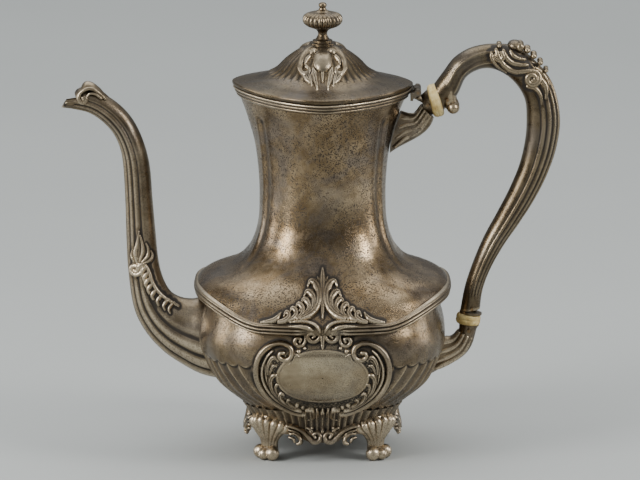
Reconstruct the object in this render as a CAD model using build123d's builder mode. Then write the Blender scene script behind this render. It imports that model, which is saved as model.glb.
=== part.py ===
from build123d import *
import os
from math import copysign, cos, pi, radians, sin

# Coffee pot in silver plate: hollow body on four feet, hinged lid, spout, insulated handle.
# Millimetres, +Z up. Every outline below is measured from the body's vertical axis, with
# the spout towards -X, the handle towards +X and the front towards -Y. Finished pieces are
# then moved so that the origin is the centre of the whole footprint on the table.
AXIS_FROM_ORIGIN = 7.0  # the body's axis stands this far towards the handle

WALL = 1.0  # sheet thickness of the raised shells
SQUARENESS = 3.0  # superellipse exponent of the bowl's rounded-square plan
MOUTH_SQUARENESS = 1.6  # and of the mouth's plan, a rounded diamond with tips at the sides
SHOULDER_TOP = 115.0  # below this height the upper shell's thickness is set upright
RING_POINTS = 16  # points that carry one plan outline
CLEARANCE = 0.3  # between the lid's group and the pot

# Heights with the half-widths towards spout and handle and towards front and back, and
# the exponent of the plan, which turns from the mouth's diamond to the bowl's square.
UPPER_PROFILE = [
    (209.5, 48.6, 48.6, MOUTH_SQUARENESS),
    (200.0, 44.6, 44.6, MOUTH_SQUARENESS),
    (186.0, 40.3, 40.3, 1.8),
    (169.0, 37.8, 37.8, 1.9),
    (150.0, 37.0, 37.0, 2.1),
    (134.0, 38.2, 38.2, 2.35),
    (124.8, 41.0, 40.6, 2.55),
    (117.2, 45.2, 44.6, 2.8),
    (112.4, 50.4, 48.8, SQUARENESS),
    (109.4, 56.5, 52.0, SQUARENESS),
    (106.5, 66.0, 55.5, SQUARENESS),
    (101.5, 73.4, 61.2, SQUARENESS),
    (95.0, 74.6, 68.0, SQUARENESS),
    (88.6, 74.6, 74.2, SQUARENESS),
    (80.0, 74.6, 74.6, SQUARENESS),
]
BOWL_HALF_WIDTHS = [
    (22.0, 39.5),
    (26.0, 41.5),
    (30.0, 45.0),
    (35.0, 51.0),
    (39.0, 56.0),
    (44.0, 61.5),
    (54.0, 67.3),
    (65.5, 71.3),
    (71.0, 72.0),
    (79.0, 70.9),
    (86.0, 68.8),
    (95.0, 67.4),
    (104.0, 67.0),
]
APRON_HALF_WIDTHS = [
    (11.0, 44.6),
    (14.0, 43.8),
    (20.0, 42.8),
    (26.0, 44.4),
    (30.0, 46.8),
]

BOWL_PROFILE = [(z, half, half, SQUARENESS) for z, half in BOWL_HALF_WIDTHS]
APRON_PROFILE = [(z, half, half, SQUARENESS) for z, half in APRON_HALF_WIDTHS]

# The seam between bowl and shoulder: low along the front and back, high at the sides.
SEAM_LOW = 88.6
SEAM_RISE = 12.2
SEAM_FLAT_TO = 36.0  # half-width of the low stretch
SEAM_RISE_WIDTH = 40.0
RIM_HEIGHT = 6.6
RIM_HALF_WIDTH = 75.8
RIM_BAND = 2.4
RIM_FLANGE = 1.2
RIM_INNER_HALF = 67.0

# Mouth, lid and hinge
MOUTH_BOTTOM = 209.5
MOUTH_TOP = 214.9
MOUTH_BOTTOM_HALF = 49.2
MOUTH_TOP_HALF = 52.6
MOUTH_INNER_HALF = 47.2
LID_PROFILE = [
    (215.2, 52.6, MOUTH_SQUARENESS),
    (217.2, 52.7, MOUTH_SQUARENESS),
    (219.4, 46.5, 1.65),
    (221.6, 37.5, 1.75),
    (225.8, 28.4, 1.9),
    (232.6, 21.5, 2.0),
    (238.4, 13.6, 2.0),
    (240.8, 7.6, 2.0),
]  # height, half-width and exponent of the plan, which turns from diamond to round
BEZEL_HALF = 44.0
BEZEL_WALL = 1.0
BEZEL_BOTTOM = 208.4
HINGE_X = 54.8
HINGE_Z = 214.2
KNUCKLE_RADIUS = 2.0
HINGE_PIN_RADIUS = 0.9
HINGE_RUNNING_FIT = 0.05
LEAF_FOOT = 51.4  # the lid's leaf starts inside the lid's edge, and this far from the body's axis
LEAF_RISE = 1.0  # the lid's leaf stands this far above the hinge axis where it leaves the lid
LID_KNUCKLE_HALF = 4.6
HINGE_HALF = 10.0
HINGE_PLATE_BACK = 50.4
HINGE_PLATE_FRONT = 52.0

# Spout: lower (outer) edge, upper (inner) edge and half-width of each section
SPOUT_SECTIONS = [
    ((-52.0, 40.0), (-60.0, 91.0), 17.5),
    ((-70.0, 44.0), (-71.4, 90.0), 16.5),
    ((-82.0, 50.0), (-77.0, 89.2), 14.8),
    ((-94.0, 58.5), (-83.5, 90.2), 13.0),
    ((-104.0, 70.0), (-89.5, 94.0), 11.4),
    ((-110.6, 84.0), (-94.0, 102.8), 10.0),
    ((-113.7, 105.0), (-96.5, 114.0), 9.0),
    ((-114.8, 125.0), (-97.9, 128.6), 8.4),
    ((-115.4, 148.0), (-99.6, 148.2), 8.0),
    ((-117.0, 173.0), (-101.5, 170.6), 7.5),
    ((-121.0, 186.0), (-106.6, 188.0), 7.0),
    ((-127.5, 194.4), (-114.4, 201.0), 6.6),
    ((-135.8, 200.4), (-126.0, 210.6), 6.2),
    ((-144.5, 202.8), (-138.6, 215.0), 5.8),
    ((-152.8, 203.8), (-146.8, 212.4), 5.2),
]
SPOUT_ROOT_SECTIONS = 6
SPOUT_WALL = 1.1
SPOUT_RELIEF = 1.0
SPOUT_LEAF_OUTLINE = [
    (-108.4, 132.0),
    (-104.2, 122.0),
    (-103.0, 111.0),
    (-100.0, 100.0),
    (-94.0, 91.5),
    (-84.5, 82.0),
    (-92.0, 80.5),
    (-101.0, 87.0),
    (-107.0, 98.0),
    (-110.4, 113.0),
    (-111.0, 125.0),
]
FLANGE_WIDTH = 2.2
FLANGE_THICK = 1.6
HOOD_OUTLINE = [
    (-144.0, 213.0),
    (-143.0, 216.8),
    (-138.6, 218.6),
    (-133.6, 217.0),
    (-128.0, 211.8),
    (-129.6, 207.6),
    (-137.0, 209.0),
]
HOOD_HALF = 4.6
STRAINER_HOLE_RADIUS = 1.7
STRAINER_PITCH = 6.0
STRAINER_CENTRE_Z = 66.0

# Handle: outer edge, inner edge and half-width of each section
HANDLE_SECTIONS = [
    ((70.2, 224.6), (78.9, 211.6), 8.0),
    ((77.2, 233.7), (83.6, 221.3), 7.8),
    ((87.3, 239.6), (90.0, 225.9), 7.6),
    ((100.0, 241.7), (97.5, 227.2), 7.6),
    ((113.2, 240.0), (105.5, 224.4), 7.6),
    ((124.4, 231.6), (113.0, 218.0), 7.6),
    ((134.6, 218.0), (118.2, 209.0), 7.6),
    ((139.0, 199.0), (119.4, 198.4), 7.5),
    ((137.4, 181.4), (118.7, 185.2), 7.3),
    ((132.0, 164.6), (115.4, 170.0), 7.2),
    ((124.4, 149.0), (109.4, 155.0), 7.0),
    ((115.4, 134.6), (101.8, 140.0), 6.8),
    ((106.5, 121.5), (94.4, 126.0), 6.6),
    ((99.0, 108.0), (88.2, 111.0), 6.4),
    ((94.2, 95.0), (83.6, 96.6), 6.2),
]
HANDLE_WALL = 1.5
HANDLE_TOP_RADIUS = 8.2
HANDLE_FOOT_RADIUS = 6.0
CREST_ON_HANDLE = [
    (98.0, 236.0),
    (105.0, 232.0),
    (113.0, 229.5),
    (121.0, 224.0),
    (128.5, 219.5),
    (134.0, 226.0),
    (126.0, 240.0),
    (110.0, 250.0),
    (97.0, 246.0),
]
HANDLE_RELIEF = 1.1
HOOK_CENTRE = (76.6, 204.4)
HOOK_RADIUS = 3.8
HOOK_HALF = 7.0

# Insulators with their tenons
UPPER_TILT = 14.5
UPPER_CENTRE = (66.2, 208.0)
UPPER_RADIUS = 9.9
UPPER_THICK = 6.4
LOWER_TILT = 82.0
LOWER_CENTRE = (85.7, 77.2)
LOWER_RADIUS = 7.2
LOWER_THICK = 6.4
TENON_RADIUS = 3.6
TENON_DEPTH = 5.0
COLLAR_THICK = 1.2
COLLAR_RADIUS = 6.6
RIVET_RADIUS = 0.9
RIVET_INSET = 2.8
RIVET_HALF = 9.0

# Handle brackets: lower edge, upper edge and half-width of each section
UPPER_ARM = [
    ((34.0, 171.0), (39.0, 204.0), 6.6),
    ((48.0, 182.4), (48.6, 200.8), 5.8),
    ((57.0, 187.6), (53.0, 200.6), 5.6),
    ((64.2, 197.6), (57.0, 205.6), 6.2),
]
UPPER_LINK = [
    ((52.0, 209.6), (52.0, 211.6), 4.2),
    ((58.6, 206.0), (58.0, 210.6), 4.6),
]
CUP_BACK_RADIUS = 5.4
CUP_DEPTH = 5.4
LOWER_ARM = [
    ((56.0, 42.0), (63.0, 68.0), 9.0),
    ((68.5, 47.2), (72.4, 66.8), 8.0),
    ((77.0, 51.4), (75.2, 67.0), 7.0),
    ((84.0, 56.8), (76.8, 68.0), 6.2),
    ((88.4, 65.6), (78.6, 69.8), 5.6),
]

# Ornament on the bowl and the shoulder, front and back
CARTOUCHE_Z = 57.2
CARTOUCHE_HALF_WIDTH = 39.5
CARTOUCHE_HALF_HEIGHT = 22.4
PLATE_HALF_WIDTH = 27.0
PLATE_HALF_HEIGHT = 17.4
CARTOUCHE_RELIEF = 2.2
CREST_RELIEF = 1.8
CREST_OUTLINE = [
    (-36.0, 86.0),
    (-33.0, 93.0),
    (-22.0, 97.0),
    (-14.0, 106.0),
    (0.0, 117.0),
    (14.0, 106.0),
    (22.0, 97.0),
    (33.0, 93.0),
    (36.0, 86.0),
]
LID_CREST_OUTLINE = [
    (0.0, 219.8),
    (-6.0, 221.6),
    (-11.0, 226.0),
    (-12.4, 231.6),
    (-8.6, 237.6),
    (0.0, 239.8),
    (8.6, 237.6),
    (12.4, 231.6),
    (11.0, 226.0),
    (6.0, 221.6),
]
LID_RELIEF = 1.6

# Finial: a collar on the lid, a gadrooned knob on a stem, a button, and a nut inside
STUD_RADIUS = 1.6
LID_TOP = 240.8
COLLAR_TOP = 242.2
FINIAL_COLLAR_RADIUS = 7.6
STEM_RADIUS = 2.7
STEM_FOOT_RADIUS = 4.6
STEM_WAIST_Z = 248.4
KNOB_BOTTOM = 251.0
KNOB_RADIUS = 11.6
KNOB_MIDDLE = 256.4
KNOB_TOP = 260.8
BUTTON_RADIUS = 2.4
FINIAL_TOP = 266.4
NUT_RADIUS = 4.2
NUT_THICK = 2.4

# Feet
FOOT_SECTIONS = [
    (27.0, 29.4, 9.6),
    (20.5, 30.6, 8.2),
    (14.0, 30.4, 5.2),
    (9.6, 30.2, 3.8),
    (5.0, 30.6, 4.8),
    (0.0, 31.2, 6.2),
]  # height, distance of the centre from each body plane, radius
TOE_RADIUS = 3.6
TOE_SPREAD = 4.0
TOE_REACH = 33.2
APRON_WALL = 1.6
SCALLOP_PLACE = 10.0
SCALLOP_RADIUS = 6.0

FAR = 90.0  # beyond every piece across the body


def plan_points(half_x, half_y, exponent):
    """Points of a superellipse about the body's axis."""
    points = []
    for k in range(RING_POINTS):
        turn = 2 * pi * k / RING_POINTS
        along, across = cos(turn), sin(turn)
        points.append(
            (
                half_x * copysign(abs(along) ** (2 / exponent), along),
                half_y * copysign(abs(across) ** (2 / exponent), across),
            )
        )
    return points


def plan_outline(height, half_x, half_y, exponent):
    """The superellipse face at one height."""
    with BuildSketch(Plane.XY.offset(height)) as outline:
        with BuildLine():
            Spline(*plan_points(half_x, half_y, exponent), periodic=True)
        make_face()
    return outline.sketch


def body_solid(profile, extra=0.0):
    """A solid through the plans of a profile, grown outwards by extra."""
    plans = [plan_outline(z, a + extra, b + extra, n) for z, a, b, n in profile]
    with BuildPart() as solid:
        loft(plans)
    return solid.part


def plan_prism(bottom, top, half, exponent=SQUARENESS):
    """An upright block with a superellipse plan."""
    with BuildPart() as solid:
        extrude(plan_outline(bottom, half, half, exponent), amount=top - bottom)
    return solid.part


def seam_height(x):
    """Height of the rim's upper edge above a place across the front."""
    t = min(max((abs(x) - SEAM_FLAT_TO) / SEAM_RISE_WIDTH, 0.0), 1.0)
    return SEAM_LOW + SEAM_RISE * t * t * (3 - 2 * t)


def seam_block(lower, upper):
    """Everything between two heights measured from the seam, through the whole body.
    A height of None stands for well below or well above the body's seam."""
    places = [-FAR + FAR * k / 9 for k in range(19)]
    with BuildPart() as block:
        with BuildSketch(Plane.XZ):
            with BuildLine():
                if lower is None:
                    low_ends = Line((-FAR, 0), (FAR, 0))
                else:
                    low_ends = Spline(*[(x, seam_height(x) + lower) for x in places])
                if upper is None:
                    high_ends = Line((-FAR, 2 * FAR), (FAR, 2 * FAR))
                else:
                    high_ends = Spline(*[(x, seam_height(x) + upper) for x in places])
                Line(low_ends @ 0, high_ends @ 0)
                Line(low_ends @ 1, high_ends @ 1)
            make_face()
        extrude(amount=FAR, both=True)
    return block.part


def tube_solid(sections, extra=0.0):
    """A solid through elliptical sections that stand across a path in the middle plane."""
    faces = []
    for (x1, z1), (x2, z2), half_width in sections:
        across = Vector(x2 - x1, 0, z2 - z1)
        plane = Plane(
            origin=((x1 + x2) / 2, 0, (z1 + z2) / 2),
            x_dir=across,
            z_dir=across.cross(Vector(0, 1, 0)),
        )
        with BuildSketch(plane) as section:
            with BuildLine():
                Spline(*plan_points(across.length / 2 + extra, half_width + extra, 2.0), periodic=True)
            make_face()
        faces.append(section.sketch)
    with BuildPart() as solid:
        loft(faces)
    return solid.part


def spout_solid(extra=0.0):
    """The spout's solid in two spans that share the section at the top of the root."""
    with BuildPart() as solid:
        add(tube_solid(SPOUT_SECTIONS[:SPOUT_ROOT_SECTIONS], extra))
        add(tube_solid(SPOUT_SECTIONS[SPOUT_ROOT_SECTIONS - 1 :], extra))
    return solid.part


def along_tilt(centre, tilt, distance):
    """The point at a distance along a tilted axis in the middle plane."""
    x, z = centre
    return (x + distance * cos(radians(tilt)), z + distance * sin(radians(tilt)))


def tilted_disc(centre, tilt, start, length, radius):
    """A disc on a tilted axis in the middle plane, from start over length."""
    x, z = along_tilt(centre, tilt, start)
    axis = Vector(cos(radians(tilt)), 0, sin(radians(tilt)))
    with BuildPart() as disc:
        with BuildSketch(Plane(origin=(x, 0, z), z_dir=axis)):
            Circle(radius)
        extrude(amount=length)
    return disc.part


def disc_edge(centre, tilt, distance, radius):
    """The two ends of a disc's trace in the middle plane: the outer or upper one, then the other."""
    x, z = along_tilt(centre, tilt, distance)
    across_x, across_z = -sin(radians(tilt)), cos(radians(tilt))
    if across_z < abs(across_x):
        across_x, across_z = -across_x, -across_z
    return (
        (x + radius * across_x, z + radius * across_z),
        (x - radius * across_x, z - radius * across_z),
    )


def finish(piece, name):
    """Place a finished piece in the pot's frame, label it and write it."""
    placed = piece.part.moved(Location((AXIS_FROM_ORIGIN, 0, 0)))
    placed.label = name
    export_step(placed, f"parts/{name}.step")


os.makedirs("parts", exist_ok=True)

# Outsides and slabs that several pieces are cut from
upper_outside = body_solid(UPPER_PROFILE)
bowl_outside = body_solid(BOWL_PROFILE)
apron_outside = body_solid(APRON_PROFILE)
spout_outside = spout_solid()
handle_top = disc_edge(UPPER_CENTRE, UPPER_TILT, UPPER_THICK / 2, HANDLE_TOP_RADIUS)
handle_foot = disc_edge(
    LOWER_CENTRE, LOWER_TILT, LOWER_THICK / 2 + COLLAR_THICK, HANDLE_FOOT_RADIUS
)
handle_sections = [
    (*handle_top, HANDLE_TOP_RADIUS), *HANDLE_SECTIONS, (*handle_foot, HANDLE_FOOT_RADIUS)
]
handle_outside = tube_solid(handle_sections)
below_seam = seam_block(None, 0.0)
above_bowl = seam_block(-RIM_HEIGHT, None)
rim_slab = seam_block(-RIM_HEIGHT, 0.0)
rim_foot_slab = seam_block(-RIM_HEIGHT, RIM_FLANGE - RIM_HEIGHT)

# Neck and shoulder: one raised shell, open at the mouth and along the seam
upper_inside_profile = [
    (z - (WALL if z < SHOULDER_TOP else 0.0), a - WALL, b - WALL, n)
    for z, a, b, n in UPPER_PROFILE
]
upper_inside = body_solid(upper_inside_profile)
with BuildPart() as upper_body:
    add(upper_outside)
    add(upper_inside, mode=Mode.SUBTRACT)
    add(below_seam, mode=Mode.SUBTRACT)
finish(upper_body, "upper_body")

# Bowl: the lower shell, pierced with strainer holes behind the spout
bowl_inside = body_solid(BOWL_PROFILE, -WALL)
with BuildPart() as lower_body:
    add(bowl_outside)
    add(bowl_inside, mode=Mode.SUBTRACT)
    add(above_bowl, mode=Mode.SUBTRACT)
    with BuildSketch(Plane.YZ.offset(-FAR)):
        with Locations((0, STRAINER_CENTRE_Z)):
            with HexLocations(STRAINER_PITCH / 2, 4, 5):
                Circle(STRAINER_HOLE_RADIUS)
    extrude(amount=FAR / 2, mode=Mode.SUBTRACT)
finish(lower_body, "lower_body")

# Rim over the seam: an upright band with a foot that bears on the bowl
rim_bottom = SEAM_LOW - 2 * RIM_HEIGHT
rim_top = SEAM_LOW + SEAM_RISE + RIM_HEIGHT
rim_core = plan_prism(rim_bottom, rim_top, RIM_HALF_WIDTH - RIM_BAND)
with BuildPart() as rim_foot:
    add(rim_core)
    add(plan_prism(rim_bottom, rim_top, RIM_INNER_HALF), mode=Mode.SUBTRACT)
    add(rim_foot_slab, mode=Mode.INTERSECT)
with BuildPart() as shoulder_rim:
    add(plan_prism(rim_bottom, rim_top, RIM_HALF_WIDTH))
    add(rim_core, mode=Mode.SUBTRACT)
    add(rim_slab, mode=Mode.INTERSECT)
    add(rim_foot.part)
finish(shoulder_rim, "shoulder_rim")

# Bottom plate inside the bowl's lower edge
with BuildPart() as bottom_plate:
    add(plan_prism(BOWL_PROFILE[0][0], BOWL_PROFILE[0][0] + WALL, BOWL_PROFILE[0][1] - WALL))
finish(bottom_plate, "bottom_plate")


def foot_solid(side_x, side_y):
    """One foot: a knee under the bowl's corner, an ankle and a paw with three toes."""
    sections = []
    for height, reach, radius in FOOT_SECTIONS:
        with BuildSketch(Plane.XY.offset(height)) as section:
            with Locations((side_x * reach, side_y * reach)):
                Circle(radius)
        sections.append(section.sketch)
    outward = Vector(side_x, side_y, 0).normalized()
    sideways = Vector(-side_y, side_x, 0).normalized()
    middle = Vector(side_x, side_y, 0) * TOE_REACH
    toes = [
        middle + sideways * TOE_SPREAD - outward * TOE_RADIUS / 3 + Vector(0, 0, TOE_RADIUS - 0.6),
        middle - sideways * TOE_SPREAD - outward * TOE_RADIUS / 3 + Vector(0, 0, TOE_RADIUS - 0.6),
    ]
    with BuildPart() as solid:
        loft(sections)
        with Locations(*toes):
            Sphere(TOE_RADIUS)
        split(bisect_by=Plane.XY, keep=Keep.TOP)
        add(bowl_outside, mode=Mode.SUBTRACT)
    return solid


feet = {}
for depth_name, side_y in (("front", -1), ("back", 1)):
    for side_name, side_x in (("left", -1), ("right", 1)):
        feet[f"foot_{depth_name}_{side_name}"] = foot_solid(side_x, side_y)
for name, foot in feet.items():
    finish(foot, name)

# Base apron: four cast panels between the feet, scalloped along their lower edge
with BuildPart() as base_apron:
    add(apron_outside)
    add(body_solid(APRON_PROFILE, -APRON_WALL), mode=Mode.SUBTRACT)
    add(bowl_outside, mode=Mode.SUBTRACT)
    for plane in (Plane.XZ, Plane.YZ):
        with BuildSketch(plane):
            with Locations((-SCALLOP_PLACE, APRON_PROFILE[0][0]), (SCALLOP_PLACE, APRON_PROFILE[0][0])):
                Circle(SCALLOP_RADIUS)
        extrude(amount=FAR, both=True, mode=Mode.SUBTRACT)
    for foot in feet.values():
        add(foot.part, mode=Mode.SUBTRACT)
finish(base_apron, "base_apron")

# Spout: a tube with both ends open, closed against the bowl by a flange
with BuildPart() as spout:
    add(spout_outside)
    add(spout_solid(-SPOUT_WALL), mode=Mode.SUBTRACT)
    add(bowl_outside, mode=Mode.SUBTRACT)
finish(spout, "spout")

with BuildPart() as spout_flange:
    add(tube_solid(SPOUT_SECTIONS[:5], FLANGE_WIDTH))
    add(body_solid(BOWL_PROFILE, FLANGE_THICK), mode=Mode.INTERSECT)
    add(spout_outside, mode=Mode.SUBTRACT)
    add(bowl_outside, mode=Mode.SUBTRACT)
    add(above_bowl, mode=Mode.SUBTRACT)
finish(spout_flange, "spout_flange")

# Scrolled hood over the spout's open tip
with BuildPart() as spout_hood:
    with BuildSketch(Plane.XZ):
        with BuildLine():
            Spline(*HOOD_OUTLINE, periodic=True)
        make_face()
    extrude(amount=HOOD_HALF, both=True)
    add(spout_outside, mode=Mode.SUBTRACT)
finish(spout_hood, "spout_hood")

# Acanthus leaf on each flank of the spout
with BuildPart() as spout_leaves:
    add(spout_solid(SPOUT_RELIEF))
    add(spout_outside, mode=Mode.SUBTRACT)
    with BuildSketch(Plane.XZ):
        with BuildLine():
            Spline(*SPOUT_LEAF_OUTLINE, periodic=True)
        make_face()
    extrude(amount=FAR, both=True, mode=Mode.INTERSECT)
finish(spout_leaves, "spout_leaves")

# Cartouche frames and shoulder crests, front and back
bowl_raised = body_solid(BOWL_PROFILE, CARTOUCHE_RELIEF)
upper_raised = body_solid(UPPER_PROFILE, CREST_RELIEF)
for name, side_y in (("front", -1), ("back", 1)):
    with BuildPart() as cartouche:
        add(bowl_raised)
        add(bowl_outside, mode=Mode.SUBTRACT)
        with BuildSketch(Plane.XZ):
            with Locations((0, CARTOUCHE_Z)):
                Ellipse(CARTOUCHE_HALF_WIDTH, CARTOUCHE_HALF_HEIGHT)
                Ellipse(PLATE_HALF_WIDTH, PLATE_HALF_HEIGHT, mode=Mode.SUBTRACT)
        extrude(amount=-side_y * FAR, mode=Mode.INTERSECT)
    finish(cartouche, f"cartouche_{name}")
    with BuildPart() as crest:
        add(upper_raised)
        add(upper_outside, mode=Mode.SUBTRACT)
        with BuildSketch(Plane.XZ):
            with BuildLine():
                Spline(*CREST_OUTLINE)
                Line(CREST_OUTLINE[-1], CREST_OUTLINE[0])
            make_face()
        extrude(amount=-side_y * FAR, mode=Mode.INTERSECT)
        add(below_seam, mode=Mode.SUBTRACT)
    finish(crest, f"crest_{name}")

# Neck rim: the reeded collar round the mouth, notched for the hinge plate
with BuildPart() as neck_rim:
    loft([
        plan_outline(MOUTH_BOTTOM, MOUTH_BOTTOM_HALF, MOUTH_BOTTOM_HALF, MOUTH_SQUARENESS),
        plan_outline(MOUTH_TOP, MOUTH_TOP_HALF, MOUTH_TOP_HALF, MOUTH_SQUARENESS),
    ])
    add(
        plan_prism(MOUTH_BOTTOM, MOUTH_TOP, MOUTH_INNER_HALF, MOUTH_SQUARENESS),
        mode=Mode.SUBTRACT,
    )
    with BuildSketch(Plane.XZ):
        with BuildLine():
            Polyline(
                (HINGE_PLATE_BACK, MOUTH_BOTTOM - 1),
                (HINGE_PLATE_BACK, MOUTH_TOP + 1),
                (HINGE_X, MOUTH_TOP + 1),
                (HINGE_X, MOUTH_BOTTOM - 1),
                close=True,
            )
        make_face()
    extrude(amount=HINGE_HALF, both=True, mode=Mode.SUBTRACT)
finish(neck_rim, "neck_rim")


def knuckles(spans, bore):
    """Coaxial knuckles along the hinge axis over the given spans of Y."""
    with BuildPart() as barrel:
        for start, end in spans:
            with BuildSketch(Plane.XZ.offset(-end)):
                with Locations((HINGE_X, HINGE_Z)):
                    Circle(KNUCKLE_RADIUS)
                    Circle(bore, mode=Mode.SUBTRACT)
            extrude(amount=end - start)
    return barrel.part


def hinge_slab(outline, half):
    """A slab with an outline in the middle plane, half as wide as the hinge spans."""
    with BuildPart() as slab:
        with BuildSketch(Plane.XZ):
            with BuildLine():
                Polyline(*outline, close=True)
            make_face()
        extrude(amount=half, both=True)
    return slab.part


outer_knuckle = LID_KNUCKLE_HALF + CLEARANCE
with BuildPart() as body_hinge:
    add(hinge_slab([
        (HINGE_PLATE_BACK, MOUTH_BOTTOM),
        (HINGE_PLATE_BACK, HINGE_Z),
        (HINGE_PLATE_FRONT, HINGE_Z),
        (HINGE_PLATE_FRONT, MOUTH_BOTTOM),
    ], HINGE_HALF))
    for side in (-1, 1):
        with BuildSketch(Plane.XZ.offset(-side * (outer_knuckle + HINGE_HALF) / 2)):
            with BuildLine():
                Polyline(
                    (HINGE_PLATE_FRONT, MOUTH_BOTTOM + 1),
                    (HINGE_X, HINGE_Z - KNUCKLE_RADIUS + 0.2),
                    (HINGE_X, HINGE_Z),
                    (HINGE_PLATE_FRONT, HINGE_Z),
                    close=True,
                )
            make_face()
        extrude(amount=(HINGE_HALF - outer_knuckle) / 2, both=True)
    with BuildSketch(Plane.XZ):
        with Locations((HINGE_X, HINGE_Z)):
            Circle(HINGE_PIN_RADIUS)
    extrude(amount=HINGE_HALF, both=True, mode=Mode.SUBTRACT)
    add(knuckles(
        [(-HINGE_HALF, -outer_knuckle), (outer_knuckle, HINGE_HALF)], HINGE_PIN_RADIUS
    ))
finish(body_hinge, "body_hinge")

with BuildPart() as hinge_pin:
    with BuildSketch(Plane.XZ):
        with Locations((HINGE_X, HINGE_Z)):
            Circle(HINGE_PIN_RADIUS)
    extrude(amount=HINGE_HALF, both=True)
finish(hinge_pin, "hinge_pin")

# Lid: a domed shell, a rounded diamond at its edge and round under the finial
lid_outside_profile = [plan_outline(z, a, a, n) for z, a, n in LID_PROFILE]
lid_inside_profile = [plan_outline(z - WALL, a - WALL, a - WALL, n) for z, a, n in LID_PROFILE]
with BuildPart() as lid_outside:
    loft(lid_outside_profile)
with BuildPart() as lid_inside:
    loft(lid_inside_profile)
with BuildPart() as lid:
    add(lid_outside.part)
    add(lid_inside.part, mode=Mode.SUBTRACT)
    with BuildSketch(Plane.XY.offset(LID_TOP - 3 * WALL)):
        Circle(STUD_RADIUS)
    extrude(amount=4 * WALL, mode=Mode.SUBTRACT)
finish(lid, "lid")


def bezel_wall(bottom, top):
    """The bezel's upright wall between two heights."""
    with BuildPart() as wall:
        add(plan_prism(bottom, top, BEZEL_HALF, MOUTH_SQUARENESS))
        add(plan_prism(bottom, top, BEZEL_HALF - BEZEL_WALL, MOUTH_SQUARENESS), mode=Mode.SUBTRACT)
    return wall.part


# Bezel: the ring under the lid that drops into the mouth
lid_inside_bottom = LID_PROFILE[0][0] - WALL
bezel_top = LID_PROFILE[3][0]
with BuildPart() as bezel_upper:
    add(bezel_wall(lid_inside_bottom, bezel_top))
    add(lid_inside.part, mode=Mode.INTERSECT)
with BuildPart() as lid_bezel:
    add(bezel_wall(BEZEL_BOTTOM, lid_inside_bottom))
    add(bezel_upper.part)
finish(lid_bezel, "lid_bezel")

# The lid's hinge leaf: the middle knuckle and the lug that joins it to the lid's edge
lid_edge_z = LID_PROFILE[0][0]
with BuildPart() as lid_hinge_leaf:
    add(hinge_slab([
        (LEAF_FOOT, lid_edge_z),
        (LEAF_FOOT, lid_edge_z + LEAF_RISE),
        (HINGE_X, HINGE_Z + KNUCKLE_RADIUS),
        (HINGE_X, HINGE_Z),
        (HINGE_X - KNUCKLE_RADIUS, HINGE_Z),
    ], LID_KNUCKLE_HALF))
    with BuildSketch(Plane.XZ):
        with Locations((HINGE_X, HINGE_Z)):
            Circle(HINGE_PIN_RADIUS + HINGE_RUNNING_FIT)
    extrude(amount=LID_KNUCKLE_HALF, both=True, mode=Mode.SUBTRACT)
    add(knuckles([(-LID_KNUCKLE_HALF, LID_KNUCKLE_HALF)], HINGE_PIN_RADIUS + HINGE_RUNNING_FIT))
    add(lid_outside.part, mode=Mode.SUBTRACT)
finish(lid_hinge_leaf, "lid_hinge_leaf")

# Cast ornament on the lid, front and back
with BuildPart() as lid_raised:
    loft([plan_outline(z + LID_RELIEF / 2, a + LID_RELIEF, a + LID_RELIEF, n) for z, a, n in LID_PROFILE])
for name, side_y in (("front", -1), ("back", 1)):
    with BuildPart() as lid_crest:
        add(lid_raised.part)
        add(lid_outside.part, mode=Mode.SUBTRACT)
        with BuildSketch(Plane.XZ):
            with BuildLine():
                Spline(*LID_CREST_OUTLINE, periodic=True)
            make_face()
        extrude(amount=-side_y * FAR, mode=Mode.INTERSECT)
    finish(lid_crest, f"lid_crest_{name}")

# Finial
with BuildPart() as finial_collar:
    with BuildSketch(Plane.XY.offset(LID_TOP)):
        Circle(FINIAL_COLLAR_RADIUS)
        Circle(STUD_RADIUS, mode=Mode.SUBTRACT)
    extrude(amount=COLLAR_TOP - LID_TOP)
    chamfer(finial_collar.edges().group_by(Axis.Z)[-1].sort_by(SortBy.LENGTH)[-1], WALL / 2)
finish(finial_collar, "finial_collar")

nut_top = LID_TOP - WALL
with BuildPart() as finial_knob:
    with BuildSketch(Plane.XZ):
        with BuildLine():
            Polyline(
                (0, COLLAR_TOP),
                (0, nut_top - NUT_THICK),
                (STUD_RADIUS, nut_top - NUT_THICK),
                (STUD_RADIUS, COLLAR_TOP),
                (STEM_FOOT_RADIUS, COLLAR_TOP),
            )
            Spline(
                (STEM_FOOT_RADIUS, COLLAR_TOP),
                (STEM_RADIUS, STEM_WAIST_Z),
                (STEM_FOOT_RADIUS, KNOB_BOTTOM),
                (KNOB_RADIUS, KNOB_MIDDLE),
                (STEM_FOOT_RADIUS, KNOB_TOP),
                (BUTTON_RADIUS, KNOB_TOP + BUTTON_RADIUS),
            )
            Spline(
                (BUTTON_RADIUS, KNOB_TOP + BUTTON_RADIUS),
                (BUTTON_RADIUS, FINIAL_TOP - BUTTON_RADIUS / 2),
                (0, FINIAL_TOP),
            )
            Line((0, FINIAL_TOP), (0, COLLAR_TOP))
        make_face()
    revolve(axis=Axis.Z)
finish(finial_knob, "finial_knob")

with BuildPart() as finial_nut:
    with BuildSketch(Plane.XY.offset(nut_top - NUT_THICK)):
        RegularPolygon(NUT_RADIUS, 6)
        Circle(STUD_RADIUS, mode=Mode.SUBTRACT)
    extrude(amount=NUT_THICK)
finish(finial_nut, "finial_nut")


def rivets_through(half):
    """The four rivets' cylinders, from front to back of the sockets."""
    with BuildPart() as bars:
        with BuildSketch(Plane.XZ):
            with Locations(*RIVET_PLACES):
                Circle(RIVET_RADIUS)
        extrude(amount=half, both=True)
    return bars.part


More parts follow.
